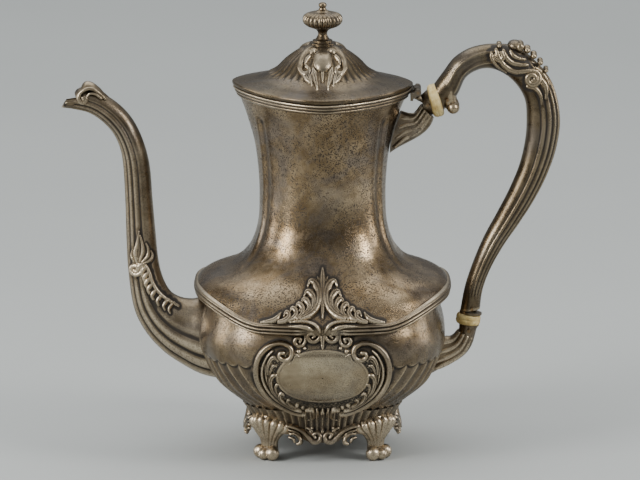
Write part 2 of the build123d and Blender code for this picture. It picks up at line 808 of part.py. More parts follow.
def tenon_pair(centre, tilt, thick, upper_depth, lower_depth):
    """The tenon that runs through an insulator's disc and into both sockets."""
    return tilted_disc(
        centre, tilt, -thick / 2 - lower_depth, thick + upper_depth + lower_depth, TENON_RADIUS
    )


# Sockets' rivets, one pair at each insulator
RIVET_PLACES = [
    along_tilt(UPPER_CENTRE, UPPER_TILT, UPPER_THICK / 2 + RIVET_INSET),
    along_tilt(UPPER_CENTRE, UPPER_TILT, -UPPER_THICK / 2 - RIVET_INSET),
    along_tilt(LOWER_CENTRE, LOWER_TILT, LOWER_THICK / 2 + COLLAR_THICK + RIVET_INSET),
    along_tilt(LOWER_CENTRE, LOWER_TILT, -LOWER_THICK / 2 - RIVET_INSET),
]
with BuildPart() as socket_rivets:
    add(rivets_through(RIVET_HALF))
finish(socket_rivets, "socket_rivets")
rivet_holes = rivets_through(FAR)

upper_tenon = tenon_pair(UPPER_CENTRE, UPPER_TILT, UPPER_THICK, TENON_DEPTH, TENON_DEPTH)
lower_tenon = tenon_pair(
    LOWER_CENTRE, LOWER_TILT, LOWER_THICK, TENON_DEPTH + COLLAR_THICK, TENON_DEPTH
)

# Insulators: bone discs that keep the body's heat from the handle
with BuildPart() as upper_insulator:
    add(tilted_disc(UPPER_CENTRE, UPPER_TILT, -UPPER_THICK / 2, UPPER_THICK, UPPER_RADIUS))
    fillet(upper_insulator.edges().filter_by(GeomType.CIRCLE), UPPER_THICK / 3)
    add(upper_tenon)
    add(rivet_holes, mode=Mode.SUBTRACT)
finish(upper_insulator, "upper_insulator")

with BuildPart() as lower_insulator:
    add(tilted_disc(LOWER_CENTRE, LOWER_TILT, -LOWER_THICK / 2, LOWER_THICK, LOWER_RADIUS))
    fillet(lower_insulator.edges().filter_by(GeomType.CIRCLE), LOWER_THICK / 4)
    add(lower_tenon)
    add(rivet_holes, mode=Mode.SUBTRACT)
finish(lower_insulator, "lower_insulator")

with BuildPart() as lower_collar:
    add(tilted_disc(LOWER_CENTRE, LOWER_TILT, LOWER_THICK / 2, COLLAR_THICK, COLLAR_RADIUS))
    add(lower_tenon, mode=Mode.SUBTRACT)
finish(lower_collar, "lower_collar")

# Handle between the two insulators: cast hollow, with a hooked scroll at its upper end
with BuildPart() as handle:
    add(handle_outside)
    add(tube_solid(HANDLE_SECTIONS, -HANDLE_WALL), mode=Mode.SUBTRACT)
    with BuildSketch(Plane.XZ):
        with Locations(HOOK_CENTRE):
            Circle(HOOK_RADIUS)
    extrude(amount=HOOK_HALF, both=True)
    add(upper_tenon, mode=Mode.SUBTRACT)
    add(lower_tenon, mode=Mode.SUBTRACT)
    add(rivet_holes, mode=Mode.SUBTRACT)
finish(handle, "handle")

# Acanthus crest that wraps the handle's highest bend
with BuildPart() as handle_crest:
    add(tube_solid(handle_sections, HANDLE_RELIEF))
    add(handle_outside, mode=Mode.SUBTRACT)
    with BuildSketch(Plane.XZ):
        with BuildLine():
            Spline(*CREST_ON_HANDLE, periodic=True)
        make_face()
    extrude(amount=FAR, both=True, mode=Mode.INTERSECT)
finish(handle_crest, "handle_crest")

# Upper bracket: a leaf from the neck, a socket cup and a short link to the hinge plate
cup_ends = []
for distance, radius in (
    (-UPPER_THICK / 2 - CUP_DEPTH, CUP_BACK_RADIUS),
    (-UPPER_THICK / 2, HANDLE_TOP_RADIUS),
):
    x, z = along_tilt(UPPER_CENTRE, UPPER_TILT, distance)
    tilt_axis = Vector(cos(radians(UPPER_TILT)), 0, sin(radians(UPPER_TILT)))
    with BuildSketch(Plane(origin=(x, 0, z), z_dir=tilt_axis)) as cup_end:
        Circle(radius)
    cup_ends.append(cup_end.sketch)
with BuildPart() as upper_bracket:
    loft(cup_ends)
    add(tube_solid(UPPER_ARM))
    add(tube_solid(UPPER_LINK))
    add(upper_outside, mode=Mode.SUBTRACT)
    add(upper_tenon, mode=Mode.SUBTRACT)
    add(rivet_holes, mode=Mode.SUBTRACT)
finish(upper_bracket, "upper_bracket")

# Lower bracket: a leaf that sweeps up from the bowl to the lower socket
lower_socket = disc_edge(LOWER_CENTRE, LOWER_TILT, -LOWER_THICK / 2, HANDLE_FOOT_RADIUS)
with BuildPart() as lower_bracket:
    add(tube_solid(LOWER_ARM + [(*lower_socket, HANDLE_FOOT_RADIUS)]))
    add(bowl_outside, mode=Mode.SUBTRACT)
    add(lower_tenon, mode=Mode.SUBTRACT)
    add(rivet_holes, mode=Mode.SUBTRACT)
finish(lower_bracket, "lower_bracket")
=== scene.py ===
import copy
import math
import bpy
import numpy as np
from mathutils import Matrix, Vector


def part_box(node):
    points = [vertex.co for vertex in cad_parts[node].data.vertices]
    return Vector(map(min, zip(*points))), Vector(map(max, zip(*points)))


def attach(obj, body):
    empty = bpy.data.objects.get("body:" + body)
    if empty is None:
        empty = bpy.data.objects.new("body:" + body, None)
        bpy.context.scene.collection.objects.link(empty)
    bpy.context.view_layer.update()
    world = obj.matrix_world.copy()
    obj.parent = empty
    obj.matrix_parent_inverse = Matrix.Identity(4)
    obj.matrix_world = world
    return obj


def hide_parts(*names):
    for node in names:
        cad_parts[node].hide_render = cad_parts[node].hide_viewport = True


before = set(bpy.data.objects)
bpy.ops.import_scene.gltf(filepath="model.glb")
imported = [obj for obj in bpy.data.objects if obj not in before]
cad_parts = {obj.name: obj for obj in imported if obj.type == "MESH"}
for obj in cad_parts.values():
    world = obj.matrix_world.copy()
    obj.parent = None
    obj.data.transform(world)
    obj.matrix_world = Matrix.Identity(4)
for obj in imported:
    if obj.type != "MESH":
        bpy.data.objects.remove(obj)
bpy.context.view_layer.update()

# A silver coffee pot. Lengths below are millimetres from the body's upright axis, with the spout at -X,
# the handle at +X and the front at -Y.
MM = 0.001
rim_low, rim_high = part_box("neck_rim")
AXIS = np.array([(rim_low.x + rim_high.x) / 2, (rim_low.y + rim_high.y) / 2, 0.0])

# ---- driving dimensions ----
SQUARENESS = 3.0
MOUTH_SQUARENESS, RIM_SQUARENESS = 1.6, 2.6
NECK_PROFILE = [  # z, half width along X, half width along Y, squareness
    (209.5, 48.6, 48.6, 1.6), (200, 44.6, 44.6, 1.6), (186, 40.3, 40.3, 1.8), (169, 37.8, 37.8, 1.9),
    (150, 37, 37, 2.1), (134, 38.2, 38.2, 2.35), (124.8, 41, 40.6, 2.55), (117.2, 45.2, 44.6, 2.8),
    (112.4, 50.4, 48.8, 2.8), (109.4, 56.5, 52, 2.7), (106.5, 66, 55.5, 2.6), (101.5, 73.4, 61.2, 2.6),
    (95, 74.6, 68, 2.6), (88.6, 74.6, 74.2, 2.6), (80, 74.6, 74.6, 2.6),
]
BOWL_PROFILE = [  # z, half width
    (22, 39.5), (26, 41.5), (30, 45), (35, 51), (39, 56), (44, 61.5), (54, 67.3), (65.5, 71.3),
    (71, 72), (79, 70.9), (86, 68.8), (95, 67.4), (104, 67),
]
APRON_PROFILE = [(11, 44.6), (14, 43.8), (20, 42.8), (26, 44.4), (30, 46.8), (32.2, 48.3)]
LID_PROFILE = [  # z, half width, squareness
    (215.3, 51.6, 1.6), (215.7, 52.7, 1.6), (217.2, 52.9, 1.6), (218.0, 52.0, 1.6), (219.4, 46.5, 1.65),
    (221.6, 37.5, 1.75), (225.8, 28.4, 1.9), (232.6, 21.5, 2), (238.4, 13.6, 2), (240.8, 7.6, 2),
]
SEAM_FRONT, SEAM_RISE = 88.6, 12.2
RIM_HALF, RIM_HEIGHT = 75.6, 6.6
SEAM_LEVEL_HALF, SEAM_RAMP = 36, 40
MOUTH_REACH, SPOUT_TIP_RISE, HINGE_TIP_RISE = 52.6, 2.5, 0.9
TIPS_FROM, TIPS_OVER = 192, 18
CREASE_FROM_SIDE = math.radians(29)
RELIEF_WIDTH, RELIEF_HEIGHT = 1.32, 1.3
FLUTES_PER_QUARTER = 14
FLUTE_TOP, FLUTE_DEPTH, FLUTE_SWEEP = 64.4, 1.35, math.radians(14)

SPOUT_SECTIONS = [  # outer side (x, z), inner side (x, z), half width
    (-52, 40, -60, 91, 17.5), (-70, 44, -71.4, 90, 16.5), (-82, 50, -77, 89.2, 14.8),
    (-94, 58.5, -83.5, 90.2, 13), (-104, 70, -89.5, 94, 11.4), (-110.6, 84, -94, 102.8, 10),
    (-113.7, 105, -96.5, 114, 9), (-114.8, 125, -97.9, 128.6, 8.4), (-115.4, 148, -99.6, 148.2, 8),
    (-117, 173, -101.5, 170.6, 7.5), (-121, 186, -106.6, 188, 7), (-127.5, 194.4, -114.4, 201, 6.6),
    (-135.8, 200.4, -126, 210.6, 6.2), (-144.5, 202.8, -138.6, 215, 5.8), (-152.8, 203.8, -146.8, 212.4, 5.2),
]
HANDLE_SECTIONS = [  # as for the spout, and so are the two brackets' arms
    (64.4, 216.6, 68.6, 200.9, 8.1), (66.0, 218.8, 71.0, 202.4, 8.2), (70.2, 224.6, 78.9, 211.6, 8),
    (77.2, 233.7, 83.6, 221.3, 7.8),
    (87.3, 239.6, 90, 225.9, 7.6), (100, 241.7, 97.5, 227.2, 7.6), (113.2, 240, 105.5, 224.4, 7.6),
    (124.4, 231.6, 113, 218, 7.6), (134.6, 218, 118.2, 209, 7.6), (139, 199, 119.4, 198.4, 7.5),
    (137.4, 181.4, 118.7, 185.2, 7.3), (132, 164.6, 115.4, 170, 7.2), (124.4, 149, 109.4, 155, 7),
    (115.4, 134.6, 101.8, 140, 6.8), (106.5, 121.5, 94.4, 126, 6.6), (99, 108, 88.2, 111, 6.4),
    (94.2, 95, 83.6, 96.6, 6.2), (92.6, 83.4, 80.8, 81.8, 6.0),
]
UPPER_ARM = [
    (40.6, 175.5, 47.2, 202.4, 6.2), (48, 182.4, 48.6, 200.8, 5.8), (57, 187.6, 53, 200.6, 5.6),
    (64.2, 197.6, 57, 205.6, 6.2),
]
LOWER_ARM = [
    (61.8, 44.4, 71.6, 67.2, 8.6), (68.5, 47.2, 72.4, 66.8, 8), (77, 51.4, 75.2, 67, 7),
    (84, 56.8, 76.8, 68, 6.2), (88.4, 65.6, 78.6, 69.8, 5.6),
]


# ---- curves and surfaces ----
def smoothstep(t):
    t = np.clip(t, 0, 1)
    return t * t * (3 - 2 * t)


def profile(z, rows, column=1):
    """Smooth value of one column of a (z, value, ...) list at the heights z."""
    rows = sorted(rows)
    zs = np.array([r[0] for r in rows], float)
    vs = np.array([r[column] for r in rows], float)
    slope = np.gradient(vs, zs)
    z = np.clip(np.asarray(z, float), zs[0], zs[-1])
    i = np.clip(np.searchsorted(zs, z) - 1, 0, len(zs) - 2)
    h = zs[i + 1] - zs[i]
    t = (z - zs[i]) / h
    rise = (2 * t**3 - 3 * t**2 + 1) * vs[i] + (3 * t**2 - 2 * t**3) * vs[i + 1]
    return rise + (t**3 - 2 * t**2 + t) * h * slope[i] + (t**3 - t**2) * h * slope[i + 1]


def seam_height(x):
    """Height of the seam of the two shells, low on the front and the back and high on the sides."""
    return SEAM_FRONT + SEAM_RISE * smoothstep((np.abs(x) - SEAM_LEVEL_HALF) / SEAM_RAMP)


def around(angle, half_x, half_y, squareness=SQUARENESS):
    """Point on a square-ish oval at a polar angle measured from the front, turning towards +X."""
    s, c = np.sin(angle), np.cos(angle)
    r = (np.abs(s / half_x) ** squareness + np.abs(c / half_y) ** squareness) ** (-1 / squareness)
    return r * s, -r * c


def circle(columns):
    """Angles spread evenly round a full turn."""
    return np.linspace(0, 2 * math.pi, columns, endpoint=False)


def tip_rise(x):
    """How far the mouth's edge rises towards its tips over the spout and the hinge."""
    return np.where(x < 0, SPOUT_TIP_RISE, HINGE_TIP_RISE) * (x / MOUTH_REACH) ** 2


def tips_share(z):
    """How much of the tips' rise the neck takes at the height z."""
    return smoothstep((z - TIPS_FROM) / TIPS_OVER)


def loop(angle, half, z, squareness=SQUARENESS, tips=0.0):
    """Ring of points round the axis. tips is the share of the mouth's rise that it takes."""
    x, y = around(angle, half, half, squareness)
    return np.stack([x, y, z + tips * tip_rise(x)], 1)


def front_of(x, deep, wide, squareness=SQUARENESS, least=0.02):
    """Distance from the axis to the front of a square-ish oval at x."""
    return deep * np.maximum(1 - np.abs(x / wide) ** squareness, least) ** (1 / squareness)


def taper(count, shares, values):
    """Values spread along a line of count points, given at some shares of its length."""
    return np.interp(np.linspace(0, 1, count), shares, values)


def set_at(flat, y):
    """A line drawn in the side view, as (x, z) points, set at the depth y."""
    return np.stack([flat[:, 0], y + np.zeros(len(flat)), flat[:, 1]], 1)


def unit(vectors):
    """Vectors scaled to a length of 1."""
    return vectors / np.maximum(np.linalg.norm(vectors, axis=-1, keepdims=True), 1e-9)


def spline(points, count):
    """Catmull-Rom curve through the points, sampled evenly in its parameter."""
    p = np.array(points, float)
    p = np.vstack([2 * p[0] - p[1], p, 2 * p[-1] - p[-2]])
    t = np.linspace(0, len(p) - 3, count)
    i = np.minimum(t.astype(int), len(p) - 4)
    f = (t - i)[:, None]
    a, b, c, d = p[i], p[i + 1], p[i + 2], p[i + 3]
    return 0.5 * (2 * b + (c - a) * f + (2 * a - 5 * b + 4 * c - d) * f**2 + (3 * b - a - 3 * c + d) * f**3)


def spiral(centre, radius, start, turns):
    """Points of a curl that winds in on its centre. A negative number of turns winds clockwise."""
    count, tightness = 14, 0.75
    t = np.linspace(0, 1, count)
    angle = math.radians(start) + 2 * math.pi * turns * t
    r = radius * (1 - tightness * t)
    return np.stack([centre[0] + r * np.cos(angle), centre[1] + r * np.sin(angle)], 1).tolist()


# ---- meshes ----
def grid_faces(rows, columns, wrap):
    """Four-sided faces between the rows of a grid. wrap joins its last column to its first."""
    i = np.arange(rows - 1)[:, None]
    j = np.arange(columns if wrap else columns - 1)[None, :]
    k = (j + 1) % columns
    quads = np.stack([i * columns + j, i * columns + k, (i + 1) * columns + k, (i + 1) * columns + j], -1)
    return quads.reshape(-1, 4)


def vertex_normals(points, faces):
    """Mean direction of the faces round each point."""
    n = np.cross(points[faces[:, 2]] - points[faces[:, 0]], points[faces[:, 3]] - points[faces[:, 1]])
    total = np.zeros_like(points)
    for corner in range(4):
        for axis in range(3):
            total[:, axis] += np.bincount(faces[:, corner], n[:, axis], len(points))
    return unit(total)


def hollow_depth(points, faces, steps):
    """How far each point lies below the smoothed surface around it, in mm."""
    a = faces.ravel()
    b = np.roll(faces, -1, axis=1).ravel()
    share = np.maximum(np.bincount(a, minlength=len(points)) + np.bincount(b, minlength=len(points)), 1)
    p = points.copy()
    keep = 0.4
    for _ in range(steps):
        mean = np.zeros_like(p)
        for axis in range(3):
            mean[:, axis] = np.bincount(a, p[b, axis], len(p)) + np.bincount(b, p[a, axis], len(p))
        p = keep * p + (1 - keep) * mean / share[:, None]
    return ((p - points) * vertex_normals(points, faces)).sum(1)


def add_object(name, data):
    """New object in the scene's own collection."""
    thing = bpy.data.objects.new(name, data)
    bpy.context.scene.collection.objects.link(thing)
    return thing


DOME_STEPS = (0.999, 0.86, 0.5)  # how far out the rings of a bar's domed end stand, in radii


class Piece:
    """Collects grids of points in mm and turns them into one object."""

    def __init__(self, name):
        self.name, self.points, self.faces, self.dark, self.count = name, [], [], [], 0

    # dark is painted shade and tarnish, added to the points' hollow attribute.
    def grid(self, points, wrap=False, dark=0.0, inside=None):
        """Adds rows of points. Their faces look away from inside, or from the axis at the mean height."""
        points = np.array(points)
        rows, columns = points.shape[:2]
        flat = points.reshape(-1, 3)
        faces = grid_faces(rows, columns, wrap)
        inside = np.array([0, 0, flat[:, 2].mean()]) if inside is None else np.asarray(inside, float)
        p = flat - inside
        volume = np.einsum("ij,ij->i", p[faces[:, 0]], np.cross(p[faces[:, 1]], p[faces[:, 2]])).sum()
        volume += np.einsum("ij,ij->i", p[faces[:, 0]], np.cross(p[faces[:, 2]], p[faces[:, 3]])).sum()
        if volume < 0:
            faces = faces[:, ::-1]
        self.add(flat, faces, np.broadcast_to(dark, (rows, columns)).ravel())
        return self

    def add(self, points, faces, dark):
        self.points.append(points)
        self.faces.append(faces + self.count)
        self.dark.append(dark)
        self.count += len(points)

    def tube(self, line, radius, columns=12, flat=1.0, up=(0, 1, 0), dark=0.0):
        """Round bar along a line, with domed ends. flat stretches it along up."""
        line = np.asarray(line, float)
        radius = np.broadcast_to(np.asarray(radius, float), len(line))
        along = unit(np.gradient(line, axis=0))
        side = unit(np.cross(along, np.asarray(up, float)))
        top = np.cross(side, along)
        first, last = np.array(DOME_STEPS)[:, None], np.array(DOME_STEPS[::-1])[:, None]
        foot, head = line[0] - along[0] * radius[0] * first, line[-1] + along[-1] * radius[-1] * last
        centres = np.vstack([foot, line, head])
        shrink = [np.sqrt(1 - first[:, 0] ** 2), np.ones(len(line)), np.sqrt(1 - last[:, 0] ** 2)]
        ends = [0] * 3 + list(range(len(line))) + [-1] * 3
        sizes = (radius[ends] * np.concatenate(shrink))[:, None, None]
        turn = circle(columns)[:, None]
        ring = np.cos(turn) * side[ends][:, None] + flat * np.sin(turn) * top[ends][:, None]
        return self.grid(centres[:, None] + sizes * ring, wrap=True, dark=dark, inside=line.mean(0))

    def build(self, material, body="pot", slot="silver_sheet", replaces=(), steps=14, depth=0.45):
        points = np.vstack(self.points)
        faces = np.vstack(self.faces)
        dark = np.concatenate(self.dark)
        mesh = bpy.data.meshes.new(self.name)
        mesh.from_pydata((points * MM + AXIS).tolist(), [], faces.tolist())
        mesh.shade_smooth()
        # hollow: depth below the smoothed surface plus dark. The materials paint shade and tarnish where it
        # is high, and a highlight with wear on raised edges where it is low.
        hollow = np.clip(hollow_depth(points, faces, steps) / depth, -1, 1) + dark
        store = mesh.attributes.new("hollow", "FLOAT", "POINT")
        store.data.foreach_set("value", np.clip(hollow, -1, 1).astype(np.float32))
        mesh.materials.append(material)
        piece = add_object(self.name, mesh)
        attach(piece, body)
        if replaces:
            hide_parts(*replaces)
        return piece

    def cast(self, replaces, steps, depth, material=None, body="pot"):
        """Builds a piece that was cast, not raised from sheet."""
        return self.build(material or CAST_SILVER, body, "silver_casting", replaces, steps, depth)


# ---- materials ----
def set_stops(ramp, stops):
    """Fills a colour ramp from (position, colour or grey) pairs."""
    elements = ramp.color_ramp.elements
    while len(elements) < len(stops):
        elements.new(0.5)
    for element, (position, colour) in zip(elements, stops):
        element.position = position
        element.color = (*colour, 1) if isinstance(colour, tuple) else (colour, colour, colour, 1)


class Nodes:
    """Short way to write a material's node tree."""

    def __init__(self, name):
        self.material = bpy.data.materials.new(name)
        self.material.use_nodes = True
        self.tree = self.material.node_tree
        self.shader = self.tree.nodes["Principled BSDF"]
        self.place = self.make("ShaderNodeTexCoord").outputs["Object"]

    def hollow(self):
        """How far a point lies in a hollow, plus its painted shade and tarnish, from Piece.build: 1 is deep,
        -1 is a raised edge.
        """
        return self.make("ShaderNodeAttribute", attribute_name="hollow").outputs["Fac"]

    def make(self, kind, **settings):
        node = self.tree.nodes.new(kind)
        for key, value in settings.items():
            setattr(node, key, value)
        return node

    def link(self, source, target):
        self.tree.links.new(source, target)

    def noise(self, scale, detail=3.0, roughness=0.55, distortion=0.0):
        node = self.make("ShaderNodeTexNoise")
        self.link(self.place, node.inputs["Vector"])
        node.inputs["Scale"].default_value = scale
        node.inputs["Detail"].default_value = detail
        node.inputs["Roughness"].default_value = roughness
        node.inputs["Distortion"].default_value = distortion
        return node.outputs["Fac"]

    def ramp(self, source, stops):
        node = self.make("ShaderNodeValToRGB")
        set_stops(node, stops)
        self.link(source, node.inputs["Fac"])
        return node.outputs["Color"]

    def feed(self, socket, value):
        """Joins a node's output to the socket, or sets the socket to a number or a colour."""
        if isinstance(value, bpy.types.NodeSocket):
            self.link(value, socket)
        else:
            socket.default_value = (*value, 1) if isinstance(value, tuple) else value

    def give(self, name, value):
        """Joins a node's output to one of the shader's sockets, or sets it to a number."""
        self.feed(self.shader.inputs[name], value)

    def between(self, source, low, high):
        """0 where the source is below low, 1 where it is above high, and straight between them."""
        return self.ramp(source, [(low, 0.0), (high, 1.0)])

    def mix(self, share, first, second):
        node = self.make("ShaderNodeMix", data_type="RGBA")
        for socket, value in zip((node.inputs[0], node.inputs[6], node.inputs[7]), (share, first, second)):
            self.feed(socket, value)
        return node.outputs[2]

    def maths(self, operation, first, second):
        node = self.make("ShaderNodeMath", operation=operation)
        for socket, value in zip(node.inputs, (first, second)):
            self.feed(socket, value)
        return node.outputs[0]

    def times(self, first, second):
        return self.maths("MULTIPLY", first, second)

    def plus(self, first, second):
        return self.maths("ADD", first, second)

    def bump(self, height, strength, distance, base=None):
        node = self.make("ShaderNodeBump")
        node.inputs["Strength"].default_value = strength
        node.inputs["Distance"].default_value = distance
        self.link(height, node.inputs["Height"])
        if base is not None:
            self.link(base, node.inputs["Normal"])
        return node.outputs["Normal"]


# The third colour is painted shade and tarnish, laid in the hollows.
BLOOM, SPECK, HOLLOW_SHADE_AND_TARNISH = (0.125, 0.125, 0.135), (0.030, 0.022, 0.015), (0.022, 0.017, 0.012)
RUBBED_AND_LIT = 1.7  # how much lighter the raised edges are, for wear and a painted highlight


def tarnished_silver(name, light, warm, brown, specks, shine=0.2, bloom=0.25):
    """Old silver plate: mottled tone, fine black tarnish specks, hollows darkened by painted shade and
    tarnish, and raised edges lightened by wear and a painted highlight.
    """
    n = Nodes(name)
    hollow = n.hollow()
    cloud = n.noise(22, 4, 0.6, 0.4)
    mottle = n.noise(130, 4, 0.65, 0.6)
    tone = n.ramp(cloud, [(0.34, brown), (0.5, warm), (0.66, light)])
    tone = n.mix(n.times(mottle, 0.5), tone, n.ramp(mottle, [(0.35, brown), (0.62, light)]))
    blue = n.between(n.noise(31, 4, 0.62, 0.8), 0.50, 0.62)
    tone = n.mix(n.times(blue, bloom), tone, BLOOM)
    grains = n.between(n.noise(1250, 2.0, 0.6, 0.1), 0.54, 0.565)
    patches = n.between(n.noise(38, 3, 0.6), 0.34, 0.54)
    speck = n.times(n.times(grains, patches), specks)
    patchy = n.times(n.maths("SUBTRACT", mottle, 0.5), 0.5)
    # Painted shade and tarnish: darker where the hollow attribute is high, in patches.
    hollow_shade_and_tarnish = n.between(n.plus(hollow, patchy), 0.05, 0.42)
    # Raised edges lighter: wear and a painted highlight.
    rubbed_and_lit = n.between(n.times(hollow, -1.0), 0.25, 1.0)
    colour = n.mix(n.times(rubbed_and_lit, 0.9), tone, tuple(min(1.0, RUBBED_AND_LIT * c) for c in light))
    colour = n.mix(speck, colour, SPECK)
    colour = n.mix(hollow_shade_and_tarnish, colour, HOLLOW_SHADE_AND_TARNISH)
    n.give("Base Color", colour)
    dull = n.maths("MAXIMUM", speck, hollow_shade_and_tarnish)
    n.give("Metallic", n.maths("SUBTRACT", 1.0, n.times(dull, 0.55)))
    rough = n.plus(shine, n.times(mottle, 0.16))
    rough = n.plus(rough, n.times(dull, 0.3))
    n.give("Roughness", rough)
    dents = n.bump(n.noise(34, 2, 0.5), 0.10, 0.0010)
    fine = n.bump(n.noise(420, 3, 0.6), 0.16, 0.00022, dents)
    n.give("Normal", n.bump(n.times(dull, -1.0), 0.25, 0.00012, fine))
    return n.material


def yellowed_bone(name):
    """Insulator rings: cream bone with fine crazing, brown where it is greasy and where shade is painted, on
    their faces and in their groove.
    """
    n = Nodes(name)
    hollow = n.hollow()
    cloud = n.noise(160, 4, 0.6, 0.5)
    tone = n.ramp(cloud, [(0.32, (0.36, 0.23, 0.07)), (0.5, (0.58, 0.44, 0.17)), (0.68, (0.70, 0.58, 0.29))])
    craze = n.make("ShaderNodeTexVoronoi", feature="DISTANCE_TO_EDGE")
    craze.inputs["Scale"].default_value = 620
    n.link(n.place, craze.inputs["Vector"])
    lines = n.ramp(craze.outputs["Distance"], [(0.0, 1.0), (0.055, 0.0)])
    colour = n.mix(n.times(lines, 0.4), tone, (0.30, 0.19, 0.07))
    # Painted shade, with greasy staining: brown on the faces against the brackets and in the groove.
    grease_and_shade = n.between(hollow, 0.05, 0.8)
    colour = n.mix(n.times(grease_and_shade, 0.85), colour, (0.16, 0.09, 0.035))
    n.give("Base Color", colour)
    n.give("Subsurface Weight", 0.12)
    n.shader.inputs["Subsurface Radius"].default_value = (0.004, 0.0028, 0.0014)
    n.give("Roughness", n.plus(0.34, n.times(cloud, 0.22)))
    n.give("Normal", n.bump(n.times(lines, -1.0), 0.35, 0.00012))
    return n.material


def floor_paint():
    """Matt grey-green paper, a little uneven."""
    n = Nodes("pale_floor")
    tone = n.ramp(n.noise(3.0, 3, 0.5), [(0.3, (0.375, 0.392, 0.387)), (0.7, (0.393, 0.411, 0.405))])
    n.give("Base Color", tone)
    n.give("Roughness", 0.75)
    n.give("Normal", n.bump(n.noise(700, 2, 0.5), 0.05, 0.0002))
    return n.material


# Each part has its own base tones: partly its own tarnish, partly painted light and shade that make whole
# parts lighter or darker.
NECK_SILVER = tarnished_silver(
    "neck_silver", (0.42, 0.325, 0.21), (0.20, 0.138, 0.074), (0.095, 0.060, 0.028), 1.0, 0.17, bloom=0.4)
BOWL_SILVER = tarnished_silver(
    "bowl_silver", (0.325, 0.262, 0.176), (0.183, 0.134, 0.078), (0.092, 0.063, 0.033), 0.7)
CAST_SILVER = tarnished_silver(
    "cast_silver", (0.36, 0.30, 0.215), (0.19, 0.145, 0.09), (0.09, 0.063, 0.036), 0.6, 0.22)
LID_SILVER = tarnished_silver(
    "lid_silver", (0.172, 0.134, 0.085), (0.094, 0.068, 0.038), (0.052, 0.035, 0.019), 0.7)
HANDLE_SILVER = tarnished_silver(
    "handle_silver", (0.22, 0.177, 0.118), (0.115, 0.085, 0.05), (0.058, 0.041, 0.023), 0.5, 0.2)
PLATE_SILVER = tarnished_silver(
    "plate_silver", (0.50, 0.42, 0.29), (0.32, 0.25, 0.16), (0.16, 0.12, 0.07), 0.4, 0.16)
PIN_METAL = tarnished_silver(
    "pin_metal", (0.42, 0.30, 0.16), (0.28, 0.18, 0.09), (0.16, 0.10, 0.05), 0.5, 0.28)
BONE = yellowed_bone("bone")


# ---- reeds, flutes and tubes ----
def reeds(position, count, low=0.0, high=1.0):
    """Height of a row of rounded reeds across a band, 1 on each crown and 0 in each groove."""
    t = np.clip((position - low) / (high - low), 0, 1)
    return np.abs(np.sin(math.pi * count * t)) ** 0.6


def centre_line(sections, rows):
    """Middle of a tube in its side view, the way from it to the outer side, and the half width."""
    line = spline(sections, rows)
    outer, inner = line[:, 0:2], line[:, 2:4]
    return (outer + inner) / 2, (outer - inner) / 2, line[:, 4]


def swept(sections, rows, columns, shape):
    """Surface of a tube from (outer x, outer z, inner x, inner z, half width) sections.
    shape(s, turn) gives the relief in mm, with turn 0 on the outer side and pi on the inner one."""
    centre, reach, half = centre_line(sections, rows)
    size = np.linalg.norm(reach, axis=1)
    turn = circle(columns)
    s = np.linspace(0, 1, rows)[:, None]
    relief = shape(s, np.broadcast_to(turn, (rows, columns)))
    out = np.cos(turn) * (size[:, None] + relief)
    aside = np.sin(turn) * (half[:, None] + relief)
    x, z = (centre[:, k:k + 1] + reach[:, k:k + 1] / size[:, None] * out for k in (0, 1))
    return np.stack([x, aside, z], -1)


def capped(points):
    """The same tube with both ends drawn to a point, so that it is closed."""
    first = np.broadcast_to(points[0].mean(0), points[0].shape)
    last = np.broadcast_to(points[-1].mean(0), points[-1].shape)
    rim = [0.5 * points[0] + 0.5 * first, 0.5 * points[-1] + 0.5 * last]
    return np.concatenate([first[None], rim[0][None], points, rim[1][None], last[None]])


def side_of(sections, x, z):
    """Half width in Y of a swept tube at a place in its side view."""
    centre, reach, half = centre_line(sections, 400)
    place = np.array([x, z])
    i = np.argmin(((centre - place) ** 2).sum(1))
    size = np.linalg.norm(reach[i])
    offset = abs(np.dot(place - centre[i], reach[i]) / size) / size
    return half[i] * math.sqrt(1 - min(offset, 1.0) ** 2)


# ---- body ----
# The dark laid round the relief is painted shade and tarnish where the relief meets the body.
ORNAMENT_SHADE_AND_TARNISH = 0.62


def swept_aside(phase, sweep):
    """Angles of the flutes, which lean towards the middle of the front and the back on their way down."""
    samples = np.linspace(0, 2 * math.pi, 1441)
    return np.interp(phase, samples + sweep * np.sin(2 * samples), samples)


def bowl():
    """Lower body: plain band above, swept hollow flutes with sharp ridges below a scalloped edge."""
    per_flute, band_foot, unswept_from, sweep_over = 12, 68, 61, 34
    quarter = np.arange(FLUTES_PER_QUARTER * per_flute) / (FLUTES_PER_QUARTER * per_flute)
    phase = np.concatenate([quarter, quarter + 1, quarter + 2, quarter + 3]) * math.pi / 2
    top = seam_height(around(phase, 67.5, 67.5)[0]) + 0.6
    low = [*np.linspace(22, 54, 58, endpoint=False), *np.linspace(54, band_foot, 40, endpoint=False)]
    heights = [np.full(len(phase), z) for z in low]
    heights += [band_foot + (top - band_foot) * share for share in np.linspace(0, 1, 34)]
    across = np.abs(np.sin(phase / (math.pi / 2) * FLUTES_PER_QUARTER * math.pi))
    edge = FLUTE_TOP - 2.4 * across
    rings = []
    for z in heights:
        sweep = FLUTE_SWEEP * np.clip((unswept_from - z[0]) / sweep_over, 0, 1.1) ** 1.3
        angle = swept_aside(phase, sweep)
        half = profile(z, BOWL_PROFILE)
        narrow = half / 70 * (1 - 0.35 * sweep / FLUTE_SWEEP)
        sunk = (0.3 + FLUTE_DEPTH * across**0.85) * narrow * smoothstep((edge - z) / 0.9)
        rings.append(loop(angle, half - sunk, z))
    points = np.array(rings)
    # Painted shade and tarnish round the cartouche and the rim's scrolls.
    dark = ORNAMENT_SHADE_AND_TARNISH * shade_and_tarnish_beside(points, cartouche_strokes() + rim_scroll_strokes())
    piece = Piece("bowl").grid(points, wrap=True, dark=dark)
    piece.build(BOWL_SILVER, replaces=["lower_body"], steps=12, depth=0.5)


